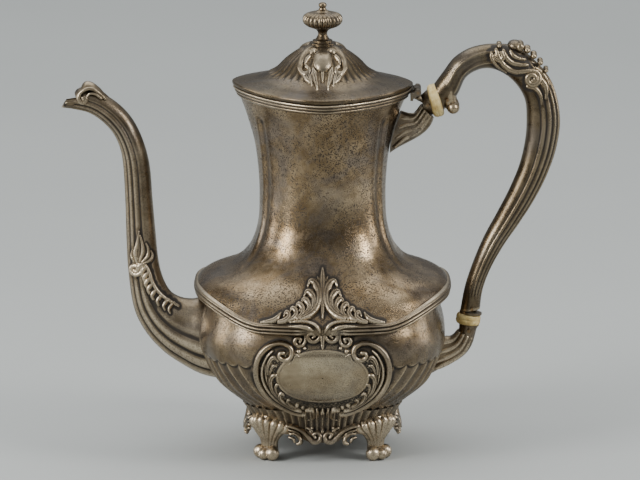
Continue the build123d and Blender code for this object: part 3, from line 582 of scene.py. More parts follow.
def neck():
    """Upper body, from the flared shoulder up the waisted neck, with soft corner lines."""
    columns, rows, top = 480, 170, 209.8
    crease_depth, crease_width = 1.0, 2.6
    ridge_height, ridge_width, ridge_aside = 0.35, 2.2, 4.6
    angle = circle(columns)
    start = seam_height(around(angle, 74.6, 74, RIM_SQUARENESS)[0])
    t = np.linspace(0, 1, rows)[:, None] ** 1.25
    z = start + (top - start) * t
    half_x, half_y, square = (profile(z, NECK_PROFILE, k) for k in (1, 2, 3))
    turned = np.broadcast_to(angle, z.shape)
    from_side = np.abs((turned % math.pi) - math.pi / 2)
    from_crease = (from_side - CREASE_FROM_SIDE) * half_x
    reach = smoothstep((z - 108) / 10) * smoothstep((203 - z) / 5)
    crease = crease_depth * np.exp(-((from_crease / crease_width) ** 2)) * reach
    ridge = ridge_height * np.exp(-(((from_crease + ridge_aside) / ridge_width) ** 2)) * reach
    x, y = around(turned, half_x - crease + ridge, half_y - crease + ridge, square)
    points = np.stack([x, y, z + tip_rise(x) * tips_share(z)], -1)
    # Painted shade and tarnish round the crest and the rim's scrolls.
    dark = ORNAMENT_SHADE_AND_TARNISH * shade_and_tarnish_beside(points, crest_strokes() + rim_scroll_strokes())
    piece = Piece("neck").grid(points, wrap=True, dark=dark)
    piece.build(NECK_SILVER, replaces=["upper_body"], steps=12, depth=0.5)


MOUTH_FROM, NECK_FROM = 208, 96


def lining_half(z):
    """Half width of the inside at the height z."""
    if z > MOUTH_FROM:
        return 47.2
    if z > NECK_FROM:
        return min(float(profile(z, NECK_PROFILE, 2)) - 1.4, 65.0)
    return min(float(profile(z, BOWL_PROFILE)), 66.0) - 1.6


def lining():
    """Inside of the neck and the bowl, seen when the lid is open."""
    angle, floor_height, floor_half = circle(160), 24.0, 38
    rings = []
    for z in np.concatenate([np.linspace(214.2, 112, 50), np.linspace(110, floor_height, 36)]):
        square = float(profile(z, NECK_PROFILE, 3)) if z > NECK_FROM else SQUARENESS
        rings.append(loop(angle, lining_half(z), z, square, tips_share(z)))
    rings += [loop(angle, floor_half * share, floor_height) for share in (0.8, 0.5, 0.2, 0.02)]
    # The inside is darkened all over with painted shade and tarnish.
    piece = Piece("lining").grid(rings, wrap=True, dark=0.12)
    piece.faces[0] = piece.faces[0][:, ::-1]
    piece.build(LID_SILVER, steps=2)


def neck_rim():
    """Three reeds round the mouth, rising with its tips."""
    low, high, foot_half, top_half, inner = 208.9, 214.8, 48.9, 52.0, 47.2
    count, per_reed, proud = 3, 7, 0.9
    angle = circle(480)
    outline = [(low, inner)]
    for t in np.linspace(0, 1, count * per_reed + 1):
        bulge = proud * np.abs(np.sin(math.pi * count * t)) ** 0.7
        outline.append((low + (high - low) * t, foot_half + (top_half - foot_half) * t + bulge))
    outline.append((high, inner))
    rings = [loop(angle, half, z, MOUTH_SQUARENESS, 1.0) for z, half in outline]
    Piece("reeded_neck_rim").grid(rings + rings[:1], wrap=True).cast(["neck_rim"], 8, 0.35)


def shoulder_rim():
    """Three reeds along the wavy seam. They sink away at the middle of the front and the back."""
    columns, count, per_reed, proud = 560, 3, 9, 1.5
    angle = circle(columns)
    base = RIM_HALF - proud
    x0, y0 = around(angle, base, base, RIM_SQUARENESS)
    level = seam_height(x0) - 0.5 * RIM_HEIGHT + 1.0
    fade = np.clip(smoothstep((np.abs(x0) - 9) / 6) + (np.abs(y0) < 40), 0, 1)
    rings = []
    for a in np.linspace(0, 1, count * per_reed + 1):
        out = proud * abs(math.sin(math.pi * count * a)) ** 0.6 * fade - 0.5 * (1 - fade)
        half = base + out - 1.2 * (2 * a - 1) ** 2
        rings.append(loop(angle, half, level + (a - 0.5) * RIM_HEIGHT, RIM_SQUARENESS))
    for height, inner in ((RIM_HEIGHT / 2, 72.4), (RIM_HEIGHT / 2 - 1.8, 70.4), (-RIM_HEIGHT / 2, 66.4)):
        rings.append(loop(angle, inner, level + height, RIM_SQUARENESS))
    piece = Piece("reeded_shoulder").grid(rings + rings[:1], wrap=True)
    piece.cast(["shoulder_rim"], 8, 0.35)


# ---- relief ornament ----
class Stroke:
    """One raised scroll or leaf of a relief, as a line in (x, z) with a half width that varies along it."""

    def __init__(self, points, widths, height, vein=0.0):
        self.line = spline(points, max(8, 5 * len(points)))
        self.widths = tuple(RELIEF_WIDTH * w for w in widths)
        self.height, self.vein = RELIEF_HEIGHT * height, RELIEF_HEIGHT * vein

    def mirrored(self):
        twin = copy.copy(self)
        twin.line = self.line * np.array([-1, 1])
        return twin

    def near(self, x, z, beyond):
        """Which places lie in the stroke's box, widened by its own width and by beyond."""
        edge = max(self.widths) + beyond
        (x_low, z_low), (x_high, z_high) = self.line.min(0) - edge, self.line.max(0) + edge
        return (x > x_low) & (x < x_high) & (z > z_low) & (z < z_high)

    def gap(self, x, z):
        """Distance from the line and the half width at the nearest place on it."""
        best = np.full(x.shape, 1e9)
        width = np.zeros(x.shape)
        share = np.linspace(0, 1, len(self.line))
        wide = np.interp(share, np.linspace(0, 1, len(self.widths)), self.widths)
        for k in range(len(self.line) - 1):
            a, b = self.line[k], self.line[k + 1]
            d = b - a
            t = np.clip(((x - a[0]) * d[0] + (z - a[1]) * d[1]) / max(d @ d, 1e-9), 0, 1)
            away = np.hypot(x - a[0] - t * d[0], z - a[1] - t * d[1])
            nearer = away < best
            best = np.where(nearer, away, best)
            width = np.where(nearer, wide[k] + (wide[k + 1] - wide[k]) * t, width)
        return best, width

    def relief(self, x, z):
        """How far the stroke stands out of the surface, and -1 beside it."""
        away, width = self.gap(x, z)
        share = np.clip(away / width, 0, 1)
        rise = self.height * (width / max(self.widths)) ** 0.5 * np.sqrt(1 - share**2)
        rise = rise - self.vein * np.exp(-((share / 0.22) ** 2))
        return np.where(away < width, np.maximum(rise, 0.08), -1.0)


def bead(x, z, radius, height):
    """Round boss."""
    return Stroke([(x, z), (x + 0.05, z)], (radius, radius), height)


def leaf(points, width, height, vein=0.35):
    """Leaf that starts thin, with a groove for its vein."""
    return Stroke(points, (0.25 * width, width, 0.85 * width, 0.45 * width), height, vein)


def scroll(points, width, height, end=0.5):
    """Half-round bar of even width that thins at its end."""
    return Stroke(points, (0.7 * width, width, width, end * width), height)


def growing_scroll(points, width, height, end=0.5):
    """Scroll that grows out of the surface."""
    return Stroke(points, (0.1 * width, 0.75 * width, width, end * width), height)


def both_sides(strokes):
    """The strokes and their mirror images in the middle line."""
    return strokes + [s.mirrored() for s in strokes]


def shade_and_tarnish_beside(points, strokes, reach=1.5, beyond=25):
    """How much painted shade and tarnish lie on the front and the back beside the strokes laid over them."""
    x, z = points[..., 0], points[..., 2]
    shade = np.zeros(x.shape)
    for s in strokes:
        near = s.near(x, z, 2 * reach) & (np.abs(points[..., 1]) > beyond)
        away, width = s.gap(x[near], z[near])
        shade[near] = np.maximum(shade[near], np.exp(-((np.maximum(away - width, 0) / reach) ** 2)))
    return shade


def relief_grid(strokes, low, high, step, surface):
    """Points and faces of a relief patch standing on surface(x, z), without its empty parts."""
    x, z = np.meshgrid(np.arange(low[0], high[0], step), np.arange(low[1], high[1], step))
    rise = np.full(x.shape, -1.0)
    for s in strokes:
        near = s.near(x, z, step)
        rise[near] = np.maximum(rise[near], s.relief(x[near], z[near]))
    nudge, sunk = 0.2, -0.45
    y = surface(x, z)
    slope_x = (surface(x + nudge, z) - surface(x - nudge, z)) / (2 * nudge)
    slope_z = (surface(x, z + nudge) - surface(x, z - nudge)) / (2 * nudge)
    normal = unit(np.stack([-slope_x, np.ones_like(x), -slope_z], -1))
    shown = rise > 0
    offset = np.where(shown, rise, sunk)
    place = np.stack([x, y, z], -1) + normal * offset[..., None]
    rows, columns = x.shape
    faces = grid_faces(rows, columns, False)
    faces = faces[shown.ravel()[faces].any(1)]
    used = np.unique(faces)
    renumber = np.full(rows * columns, -1)
    renumber[used] = np.arange(len(used))
    return place.reshape(-1, 3)[used], renumber[faces]


def front_surface(x, z):
    """Distance to the front of the body at (x, z), with the shoulder rim blended in."""
    below_rim = [row for row in BOWL_PROFILE if row[0] < 82]
    deep = below_rim + [
        (84.5, 71.4), (87, 74.0), (89.6, 74.6), (92, 72.6), (95, 68.6), (101.5, 61.7), (106.5, 55.9),
        (109.4, 52.2), (112.4, 49.0), (117.2, 44.8), (124.8, 40.8),
    ]
    wide = below_rim + [(88.6, 74.6), (101.5, 73.4), (109.4, 56.5), (117.2, 45.2)]
    return front_of(x, profile(z, deep), profile(z, wide))


def relief_piece(
        name, strokes, low, high, step, replaces, surface=front_surface, facing=-1, turn=0.0, body="pot"):
    """Relief patch on the front (facing -1) or the back (+1), or on a side turned about the axis."""
    points, faces = relief_grid(strokes, low, high, step, surface)
    points = points * np.array([1, facing, 1])
    c, s = math.cos(turn), math.sin(turn)
    x, y, z = points.T
    points = np.stack([c * x - s * y, s * x + c * y, z], 1)
    piece = Piece(name)
    piece.add(points, outward(points, faces), np.zeros(len(points)))
    return piece.cast(replaces, 6, 0.26, body=body)


def outward(points, faces):
    """The faces wound so that they look away from the body's axis."""
    n = vertex_normals(points, faces)
    away = points * np.array([1, 1, 0])
    return faces if (n * away).sum() > 0 else faces[:, ::-1]


def crest_strokes():
    """Palmette above the cartouche: a centre leaf and lobes that curl outwards in pairs."""
    centre = [
        leaf([(0, 117), (0, 111), (0, 105), (0, 99)], 1.7, 1.9),
        leaf([(0.2, 104), (0, 98), (0, 93.5)], 1, 1.2, 0.2),
    ]
    side = [
        leaf([(-2.9, 112.8), (-1.7, 109.5), (-0.9, 105)], 0.9, 1.3),
        leaf([
            (-8.4, 108.6), (-7, 110.4), (-4.4, 109.5), (-2.2, 105.7), (-2.2, 101.2), (-4, 97.2),
            (-7.6, 94.4), (-12.6, 92.6),
        ], 1.75, 2),
        leaf([
            (-10.6, 103.8), (-9.2, 105.4), (-7, 104.8), (-5.1, 102.4), (-5.2, 99.2), (-6.6, 96.6),
            (-9.7, 94.2),
        ], 1.5, 1.8),
        leaf([
            (-12.4, 100.2), (-11.2, 101.6), (-9.4, 101.2), (-7.9, 99.2), (-8.4, 96.9), (-11.2, 94.2),
        ], 1.35, 1.6),
        leaf([
            (-15.4, 98.2), (-14.2, 99.5), (-12.6, 98.9), (-11.4, 97), (-12.2, 94.6), (-14.8, 92.8),
        ], 1.35, 1.6),
        leaf([
            (-18.8, 96), (-17.7, 97.4), (-16, 96.8), (-15.3, 94.9), (-17, 92.9), (-19.9, 92.1),
        ], 1.3, 1.5),
        leaf([
            (-22.4, 94.2), (-21.2, 95.5), (-19.8, 94.9), (-19.6, 93.4), (-22, 91.9), (-25.6, 91.2),
        ], 1.2, 1.4),
        leaf([(-24.2, 95.6), (-26.2, 93), (-29.6, 91.6), (-35.6, 90.6)], 0.9, 1.2),
        bead(-3.2, 103.4, 0.7, 1), bead(-6.4, 100.9, 0.6, 0.9), bead(-13.2, 96.6, 0.6, 0.9),
    ]
    return centre + both_sides(side)


def rim_scroll_strokes():
    """The ends of the shoulder reeds, which turn down and curl up over the cartouche."""
    side = [
        growing_scroll([
            (-19, 91.2), (-13, 91.5), (-7.3, 90.9), (-3, 88.8), (-1.3, 85), (-2.2, 81), (-5.2, 79),
            (-8.2, 80.6), (-8.3, 83.6), (-6, 84.6), (-4.7, 82.9), (-5.6, 81.7),
        ], 1.15, 1.7, 0.8),
        growing_scroll([(-20, 89), (-13, 88.9), (-8.6, 88.1), (-5.2, 87)], 1, 1.3, 0.3),
        growing_scroll([
            (-21, 86.6), (-15.6, 86.4), (-11, 85), (-9.9, 81), (-11.2, 77.4), (-14.2, 76.6),
            (-16.2, 78.8), (-15, 81.2), (-12.9, 80.6), (-13.2, 79),
        ], 1.05, 1.5, 0.8),
        growing_scroll([(-22, 84.2), (-18.4, 83.6), (-16.2, 82.9)], 0.7, 0.9, 0.4),
    ]
    return both_sides(side)


def cartouche_strokes():
    """Frame of the cartouche: paired C-scrolls with volutes, leaf curls inside, tulip at the foot."""
    side = [
        scroll([
            (-22.6, 72.6), (-24.6, 72.2), (-25, 70.2), (-22.6, 68.6), (-19.4, 69.4), (-17.8, 72.4),
            (-18.8, 75.6), (-22.4, 77.8), (-27.2, 77.6), (-32.2, 75), (-36.4, 70.2), (-38.3, 63.4),
            (-37.6, 55), (-33.8, 47), (-26.8, 39.4), (-20.4, 34.6), (-14.6, 31.4), (-10.6, 30.8),
        ], 1.35, 2.5, 0.6),
        scroll([
            (-29, 73.4), (-32.4, 69.6), (-34.9, 62.6), (-34.3, 54.6), (-30.6, 47), (-24.4, 40.2),
            (-17.6, 34.8), (-12.6, 32.6),
        ], 0.75, 1.5, 0.6),
        scroll([
            (-33.3, 66.4), (-33, 60.6), (-31.9, 53.6), (-28.4, 46.8), (-22.6, 40.4), (-17, 36.2),
        ], 0.5, 0.9, 0.5),
        leaf([(-25.6, 67.6), (-27.6, 69.8), (-29.9, 68.6), (-31.6, 64.4), (-31.8, 59.4)], 1.1, 1.7),
        leaf([(-26.4, 63.8), (-27.8, 64.8), (-29.4, 63.4), (-30.6, 59.6), (-30.8, 55.4)], 0.8, 1.2),
        leaf([
            (-25.8, 57.2), (-27.4, 58.8), (-29.4, 57.6), (-30.2, 53.6), (-28.6, 47.8), (-24.6, 42.4),
        ], 1.2, 1.8),
        leaf([(-24.6, 51.6), (-26, 52.6), (-27.4, 50.8), (-26.8, 46.8), (-24.2, 42.6)], 0.8, 1.2),
        leaf([
            (-22.4, 45.2), (-23.8, 46.6), (-25, 45.2), (-24, 41.8), (-20.8, 38), (-17.4, 35.4),
        ], 1, 1.6),
        leaf([(-18.8, 40.8), (-20, 41.6), (-20.6, 40), (-19, 37.2), (-15.8, 34.8)], 0.7, 1),
        bead(-15, 37.4, 1, 1.3), bead(-11.6, 35.4, 0.8, 1),
        bead(-14, 73.4, 1.1, 1.3), bead(-10.4, 75.2, 0.8, 1),
        leaf([(-13.2, 70.2), (-16, 71.6), (-17.4, 68.4), (-19.6, 65.6)], 0.8, 1.2),
        scroll([
            (-9.6, 33.6), (-7, 33.9), (-5.4, 32.2), (-5, 29), (-6.8, 27), (-9.6, 26.6),
        ], 0.9, 1.6, 0.5),
        scroll([(-3.4, 33.6), (-2.4, 31), (-2.2, 28)], 0.65, 1.3, 0.5),
        leaf([(-12.6, 30), (-11, 28.2), (-8.6, 27.6)], 0.7, 1, 0.2),
    ]
    centre = [
        leaf([(0, 33.6), (0, 31), (0, 27.6)], 1.3, 1.8, 0.3), bead(0, 25.2, 1.5, 1.3),
        leaf([
            (0, 84.2), (0, 81), (0, 77.4),
        ], 1.5, 1.8), leaf([(0, 78.6), (0, 76.4), (0, 74.8)], 0.9, 1.3, 0.2),
    ]
    return centre + both_sides(side)


def plate(name, facing):
    """Domed oval plate of the cartouche on its dark matted ground."""
    half_wide, half_tall, height = 26.4, 17.0, 57.0
    random = np.random.default_rng(11)
    turn = circle(260)
    domed, edge, ground = np.linspace(0.02, 0.94, 26), np.linspace(0.96, 1.06, 6), np.linspace(1.1, 1.36, 12)
    rings, dark = [], []
    for share in np.concatenate([domed, edge, ground]):
        x = half_wide * share * np.cos(turn)
        z = height + half_tall * share * np.sin(turn)
        dome = 1.25 * (1 - share**4) if share < 1 else 0.0
        border = 0.55 * math.exp(-(((share - 1.0) / 0.02) ** 2))
        stipple = np.where(share > 1.04, random.uniform(-0.28, 0.12, len(turn)), 0.0)
        y = front_surface(x, z) + 0.25 + dome + border + stipple - 1.1 * smoothstep((share - 1.2) / 0.16)
        rings.append(np.stack([x, facing * y, z], 1))
        # The matted ground is darkened: tarnish in the matting and painted shade in the recess round the
        # plate.
        dark.append(np.full(len(turn), 0.42 if share > 1.03 else 0.0))
    piece = Piece(name).grid(rings, wrap=True, dark=np.array(dark), inside=(0, 0, height))
    return piece.build(PLATE_SILVER, steps=5, depth=0.4)


def body_ornament():
    """Crest, ends of the rim and cartouche, the same on the front and on the back."""
    for facing, side in ((-1, "front"), (1, "back")):
        crest, cartouche = [f"crest_{side}"], [f"cartouche_{side}"]
        patches = (
            ("crest_scrolls", crest_strokes(), (-38, 88), (38, 119), 0.3, crest),
            ("rim_scrolls", rim_scroll_strokes(), (-24, 73), (24, 94), 0.3, ()),
            ("cartouche_scrolls", cartouche_strokes(), (-41, 23), (41, 86), 0.33, cartouche),
        )
        for name, *patch in patches:
            relief_piece(f"{name}_{side}", *patch, facing=facing)
        plate(f"cartouche_plate_{side}", facing)


# ---- base ----
def apron_surface(x, z):
    """Distance from the axis to the front of the apron, a little proud of its flutes."""
    half = profile(z, APRON_PROFILE) + 0.4
    return front_of(x, half, half)


def apron():
    """Flared foot ring with short flutes and a shaped lower edge."""
    per_flute, top, inside_top, thick = 10, 32.0, 24.0, 2.0
    columns = 4 * FLUTES_PER_QUARTER * per_flute
    phase = np.arange(columns) / columns * 2 * math.pi
    angle = swept_aside(phase, FLUTE_SWEEP)
    from_middle = np.abs((angle + math.pi / 4) % (math.pi / 2) - math.pi / 4)
    arch = 4.4 * smoothstep((from_middle - 0.12) / 0.3)
    point = 1.2 * np.exp(-(((from_middle - 0.1) / 0.06) ** 2))
    edge = 12.6 + arch - point
    across = np.abs(np.sin(phase / (2 * math.pi) * columns / per_flute * math.pi))
    rings = []
    for t in np.linspace(0, 1, 34):
        z = edge + (top - edge) * t
        sunk = (0.8 + 0.5 * t) * across * smoothstep((z - 17.5) / 2.5)
        rings.append(loop(angle, profile(z, APRON_PROFILE) - sunk, z))
    for t in np.linspace(1, 0, 8):
        z = edge + (inside_top - edge) * t
        rings.append(loop(angle, profile(z, APRON_PROFILE) - thick, z))
    Piece("apron").grid(rings + rings[:1], wrap=True).cast(["base_apron"], 8, 0.4)


def apron_strokes():
    side = [
        scroll([
            (-20.6, 22.6), (-16.4, 21.6), (-12.0, 19.2), (-8.4, 15.6), (-5.4, 13.1), (-2.2, 13.6),
            (-1.2, 16.2), (-3.0, 18.3), (-5.2, 17.2), (-4.4, 15.4),
        ], 1.15, 1.9, 0.8),
        scroll([(-19.6, 19.8), (-15.4, 18.6), (-11.6, 15.6)], 0.75, 1.2, 0.3),
        scroll([(-18.8, 17.4), (-15.8, 17.4), (-13.2, 15.2), (-13.0, 12.6), (-14.6, 11.8)], 0.95, 1.7, 0.7),
        scroll([(-19.4, 15.4), (-17.2, 14.6), (-16.4, 12.8)], 0.7, 1.2, 0.6),
        leaf([(-9.6, 21.4), (-7.0, 20.2), (-5.6, 18.8)], 0.6, 0.9, 0.2),
        bead(-6.2, 21.2, 0.6, 0.8),
    ]
    return both_sides(side) + [leaf([(0, 20.8), (0, 18.6), (0, 15.4)], 0.8, 1.2, 0.2)]


def apron_ornament():
    for k, side in enumerate(("front", "handle", "back", "spout")):
        patch = (apron_strokes(), (-23, 10.5), (23, 25), 0.3, (), apron_surface)
        relief_piece(f"apron_scrolls_{side}", *patch, turn=k * math.pi / 2)


def ball(piece, centre, size, rows=14, columns=20, dark=0.0):
    """Rounded lump with the half sizes given along X, Y and Z."""
    polar = np.linspace(0.001, math.pi - 0.001, rows)[:, None]
    turn = circle(columns)[None, :]
    x = centre[0] + size[0] * np.sin(polar) * np.cos(turn)
    y = centre[1] + size[1] * np.sin(polar) * np.sin(turn)
    z = centre[2] + size[2] * np.cos(polar) * np.ones_like(turn)
    return piece.grid(np.stack([x, y, z], -1), wrap=True, dark=dark, inside=centre)


def foot(sign_x, sign_y):
    """Paw foot: a fan of leaf flutes gathered at the ankle above rounded toes."""
    name = f"foot_{'front' if sign_y < 0 else 'back'}_{'left' if sign_x < 0 else 'right'}"
    piece = Piece(f"paw_{name}")
    out = np.array([sign_x, sign_y, 0]) / math.sqrt(2)
    side = np.array([-out[1], out[0], 0])
    up = np.array([0, 0, 1.0])

    def at(forward, aside, height):
        return out * forward + side * aside + up * height

    core = [  # height, distance from the axis, radius
        (27, 41, 9), (22, 42, 8.4), (16, 42.6, 6.2), (10.5, 42.8, 4.4), (6, 43.2, 4.6), (1.2, 43.6, 5.2),
    ]
    turn = circle(28)
    rings = [[at(f + r * math.cos(a), r * math.sin(a), z) for a in turn] for z, f, r in spline(core, 26)]
    # The dark values on the paw are painted shade and tarnish: most on the core behind the flutes, less on
    # the flutes, the toes and the heel ball.
    piece.grid(capped(np.array(rings)), wrap=True, dark=0.35, inside=at(43, 0, 14))
    flutes_aside, widest_lean = 4, 78
    for k in range(-flutes_aside, flutes_aside + 1):
        spread = k / flutes_aside
        lean = math.radians(widest_lean * spread)
        c, s = math.cos(lean), math.sin(lean)
        tip = 24.6 - 3.6 * abs(spread) ** 1.5
        line = spline([
            at(40.3 + 9.3 * c, 13.464 * s, tip + 1.2), at(41.7 + 9.3 * c, 13.2 * s, tip - 1.6),
            at(42.8 + 6.4 * c, 9.4 * s, 16.8), at(43 + 4.4 * c, 5.8 * s, 12.4),
            at(43.3 + 3.9 * c, 4.6 * s, 8.4),
        ], 22)
        piece.tube(line, taper(22, [0, 0.15, 0.5, 1], [1.9, 2.35, 1.7, 1.1]), 12, up=out, dark=0.12)
    for spread, forward, size in ((-1, 46.6, 4.2), (0, 48.6, 3.6), (1, 46.6, 4.2)):
        centre = at(forward, 4.9 * spread, size)
        ball(piece, centre, (size, size, size), 16, 22, 0.12)
        bends = ((-1.4, 2.6), (1.6, 2.2), (size + 0.1, -0.4))
        claw = spline([centre + out * ahead + up * above for ahead, above in bends], 10)
        piece.tube(claw, np.linspace(1.0, 0.5, 10), 8, up=side)
    ball(piece, at(42.6, 0, 3.6), (4.6, 4.6, 3.6), 14, 20, 0.2)
    piece.cast([name], 5, 0.3)


# ---- lid ----
def lid():
    """Domed lid with a rolled edge, raised tips and flutes fanning down from the finial."""
    columns, rows, fine, count = 480, 150, 400, 36
    flutes_end, scallop_depth, flutes_start, swell_height = 33.5, 3.0, 10.4, 1.3
    angle = circle(columns)
    scallop = np.abs(np.sin(angle * count / 2))
    end = flutes_end - scallop_depth * (1 - scallop)
    curve, place = spline(LID_PROFILE, fine), np.linspace(0, fine - 1, rows)
    under = ((1.0, 232.0), (12.0, 230.0), (30.0, 220.4), (44.0, 216.4), (48.0, 215.4))
    rings = [loop(angle, half, z, MOUTH_SQUARENESS, 1.0) for half, z in under]
    for z, half, squareness in np.stack([np.interp(place, np.arange(fine), column) for column in curve.T], 1):
        inside = smoothstep((end - half) / 2.0) * smoothstep((half - flutes_start) / 3.0)
        swell = swell_height * half / 30 * (scallop**0.75 - 0.75) * inside
        rings.append(loop(angle, half, z + swell, squareness, 1.0))
    rings.append(np.stack([np.zeros(columns), np.zeros(columns), np.full(columns, 241.2)], 1))
    piece = Piece("lid_dome").grid(rings, wrap=True)
    piece.build(LID_SILVER, body="lid_group", replaces=["lid"], steps=10, depth=0.5)


def lid_surface(x, z):
    """Distance from the axis to the front of the dome at (x, z)."""
    rows = [(218.6, 49.6, 1.6)] + [row for row in LID_PROFILE if row[0] > 219]
    half = profile(z, rows)
    return front_of(x, half, half, profile(z, rows, 2), 0.03)


def lid_strokes():
    """Round boss between C-scrolls, with leaf drops below."""
    side = [
        scroll([
            (-2.6, 239.2), (-5.6, 239.7), (-9.2, 238), (-12, 234.6), (-12.8, 230.6), (-10.8, 227.8),
            (-8.2, 228.4), (-7.6, 230.4), (-9, 231.4),
        ], 1.25, 1.8, 0.8),
        scroll([(-7.2, 237), (-9.4, 235), (-10, 232.8)], 0.8, 1.2, 0.6),
        leaf([(-5.4, 231.2), (-4.8, 228.6), (-4.2, 225.6), (-3.2, 222.4)], 1.7, 2),
        leaf([(-10.6, 228.6), (-9.6, 226.2), (-7.6, 224.4)], 1.2, 1.5),
        leaf([(-7.8, 229), (-7.2, 226.4), (-6.2, 223.2)], 1, 1.4),
    ]
    centre = [bead(0, 234.6, 4.3, 2.2), leaf([(0, 229.8), (0, 227.6), (0, 225)], 1, 1.3)]
    return centre + both_sides(side)


def lid_ornament():
    for facing, side in ((-1, "front"), (1, "back")):
        patch = (lid_strokes(), (-15, 218.9), (15, 240.7), 0.26, [f"lid_crest_{side}"], lid_surface)
        relief_piece(f"lid_scrolls_{side}", *patch, facing=facing, body="lid_group")


def turned(name, outline, columns, flutes=0, depth=0.0, band=(0, 0)):
    """Turned form from (z, radius) pairs, with gadroons between the heights of the band."""
    angle = circle(columns)
    gadroons = depth * (np.abs(np.sin(angle * flutes / 2)) ** 0.7 - 0.6)
    rings = []
    for z, radius in spline(outline, 12 * len(outline)):
        share = smoothstep((z - band[0]) / 1.2) * smoothstep((band[1] - z) / 1.0)
        r = np.maximum(radius + gadroons * share, 0.01)
        rings.append(np.stack([r * np.sin(angle), -r * np.cos(angle), np.full(columns, z)], 1))
    return Piece(name).grid(rings, wrap=True)


def finial():
    """Stepped base, gadrooned knob and button, one above the other."""
    base = [
        (239.6, 8.8), (240.8, 8.6), (241.3, 7.6), (242.4, 7.3), (242.9, 6.0), (244.0, 5.7), (244.5, 4.3),
        (245.8, 3.4), (247.4, 2.7), (249.4, 3.2), (251.4, 5.4),
    ]
    turned("finial_base", base, 64).cast(["finial_collar"], 5, 0.4, LID_SILVER, "lid_group")
    knob = [
        (250.4, 1.0), (250.6, 3.8), (251.6, 7.0), (253.6, 10.3), (256.2, 11.4), (258.8, 10.4), (260.2, 7.6),
        (260.9, 4.6), (261.6, 3.2), (262.6, 0.6),
    ]
    gadrooned = turned("gadrooned_knob", knob, 288, 24, 0.95, (251.0, 260.6))
    gadrooned.cast(["finial_knob"], 10, 0.45, body="lid_group")
    button = [
        (261.8, 0.5), (262.0, 2.1), (262.9, 2.0), (263.3, 1.7), (264.0, 2.3), (265.2, 2.3), (266.1, 1.4),
        (266.35, 0.2),
    ]
    turned("finial_button", button, 32).cast(["finial_nut"], 3, 0.3, body="lid_group")


# ---- spout and handle ----
def degrees_from_outer(turn):
    """How far round a tube a place lies from its outer side."""
    return np.degrees(np.abs((turn + math.pi) % (2 * math.pi) - math.pi))


def spout_relief(s, turn):
    """Reeds on the outer half of the spout, sinking away towards the smooth inner side."""
    from_outer = degrees_from_outer(turn)
    band = reeds(from_outer, 4, -13.0, 91.0) - 0.7
    share = smoothstep((97 - from_outer) / 12)
    deep = np.interp(s, [0, 0.25, 0.5, 0.93, 0.97], [1.8, 1.6, 1.25, 0.95, 0.3])
    edge = -0.45 * np.exp(-(((from_outer - 96) / 4.0) ** 2))
    return band * share * deep + edge * (s < 0.94)


def bar_strokes(lines):
    """The strokes beside which painted shade and tarnish are laid, for bars given as (points, start radius,
    end radius).
    """
    return [Stroke(points, (first, last), 1) for points, first, last in lines]


def spout():
    """Reeded tube, its inner side hollowed near the tip, where the mouth opens."""
    points = swept(SPOUT_SECTIONS, 250, 112, spout_relief)
    turn = circle(112)
    s = np.linspace(0, 1, 250)[:, None]
    open_top = smoothstep((s - 0.925) / 0.03) * smoothstep(-np.cos(turn) * 2.2 + 0.2)[None, :]
    down = 2 * centre_line(SPOUT_SECTIONS, 250)[1]
    depth = (-np.cos(turn)[None, :] * 0.5 + 0.32) * open_top
    points[..., 0] += down[:, 0:1] * depth
    points[..., 2] += down[:, 1:2] * depth
    points = capped(points)
    # Painted shade and tarnish beside the leaves.
    dark = 0.75 * shade_and_tarnish_beside(points, bar_strokes(spout_leaf_lines()), 1.2, 2)
    piece = Piece("reeded_spout").grid(points, wrap=True, inside=(-95, 0, 100), dark=dark)
    return piece.build(CAST_SILVER, replaces=["spout"], steps=8, depth=0.3)


def hood():
    """Curled hood over the mouth, rolled into a small volute on each side."""
    piece = Piece("spout_scroll_hood")
    ridge = spline([
        (-125.0, 209.6), (-128.6, 213.6), (-133.2, 216.8), (-138.0, 217.8), (-141.8, 216.2), (-143.4, 212.8),
        (-142.4, 210.2),
    ], 30)
    width = taper(30, [0, 0.3, 0.7, 1], [2.0, 5.2, 5.8, 4.6])
    turn = circle(26)
    thick = 1.5 * (1 + 0.16 * np.abs(np.cos(1.5 * turn))) * np.sin(turn)
    drop = 2.6 * np.cos(turn) ** 2
    rings = []
    for (x, z), w, (ax, az) in zip(ridge, width, unit(np.gradient(ridge, axis=0))):
        rings.append(np.stack([x + az * thick, w * np.cos(turn), z + ax * thick - drop], 1))
    piece.grid(capped(np.array(rings)), wrap=True, inside=(-134, 0, 214))
    curl = spline([
        (-127.0, 209.6), (-130.5, 213.0), (-134.5, 215.8), (-138.4, 215.6), (-141.8, 213.0), (-142.6, 209.8),
        (-140.6, 207.6), (-138.2, 208.6), (-138.6, 210.8), (-140.2, 210.6),
    ], 44)
    inner = spline([(-129.4, 210.2), (-132.6, 212.6), (-136.0, 213.0), (-137.6, 211.2)], 16)
    for side in (-1, 1):
        aside = side * taper(44, [0, 0.3, 1], [4.6, 5.6, 6.3])
        piece.tube(set_at(curl, aside), taper(44, [0, 0.5, 1], [0.8, 1.25, 1.0]), 10)
        piece.tube(set_at(inner, side * 5.6), 0.8, 8)
        ball(piece, (-139.4, side * 6.2, 209.6), (1.7, 1.1, 1.7), 10, 14)
    piece.cast(["spout_hood"], 3, 0.4)


def scrolls_on(piece, sections, lines, sink=0.25):
    """Raised bars laid on both flanks of a swept tube. Each line is (points, start radius, end radius)."""
    for points, first, last in lines:
        flat = spline(points, 6 * len(points))
        y = np.array([side_of(sections, x, z) for x, z in flat])
        sizes = taper(len(flat), [0, 0.35, 1], [first * 0.7, first, last])
        for side in (-1, 1):
            piece.tube(set_at(flat, side * (y - sink * sizes)), sizes, 10)
    return piece


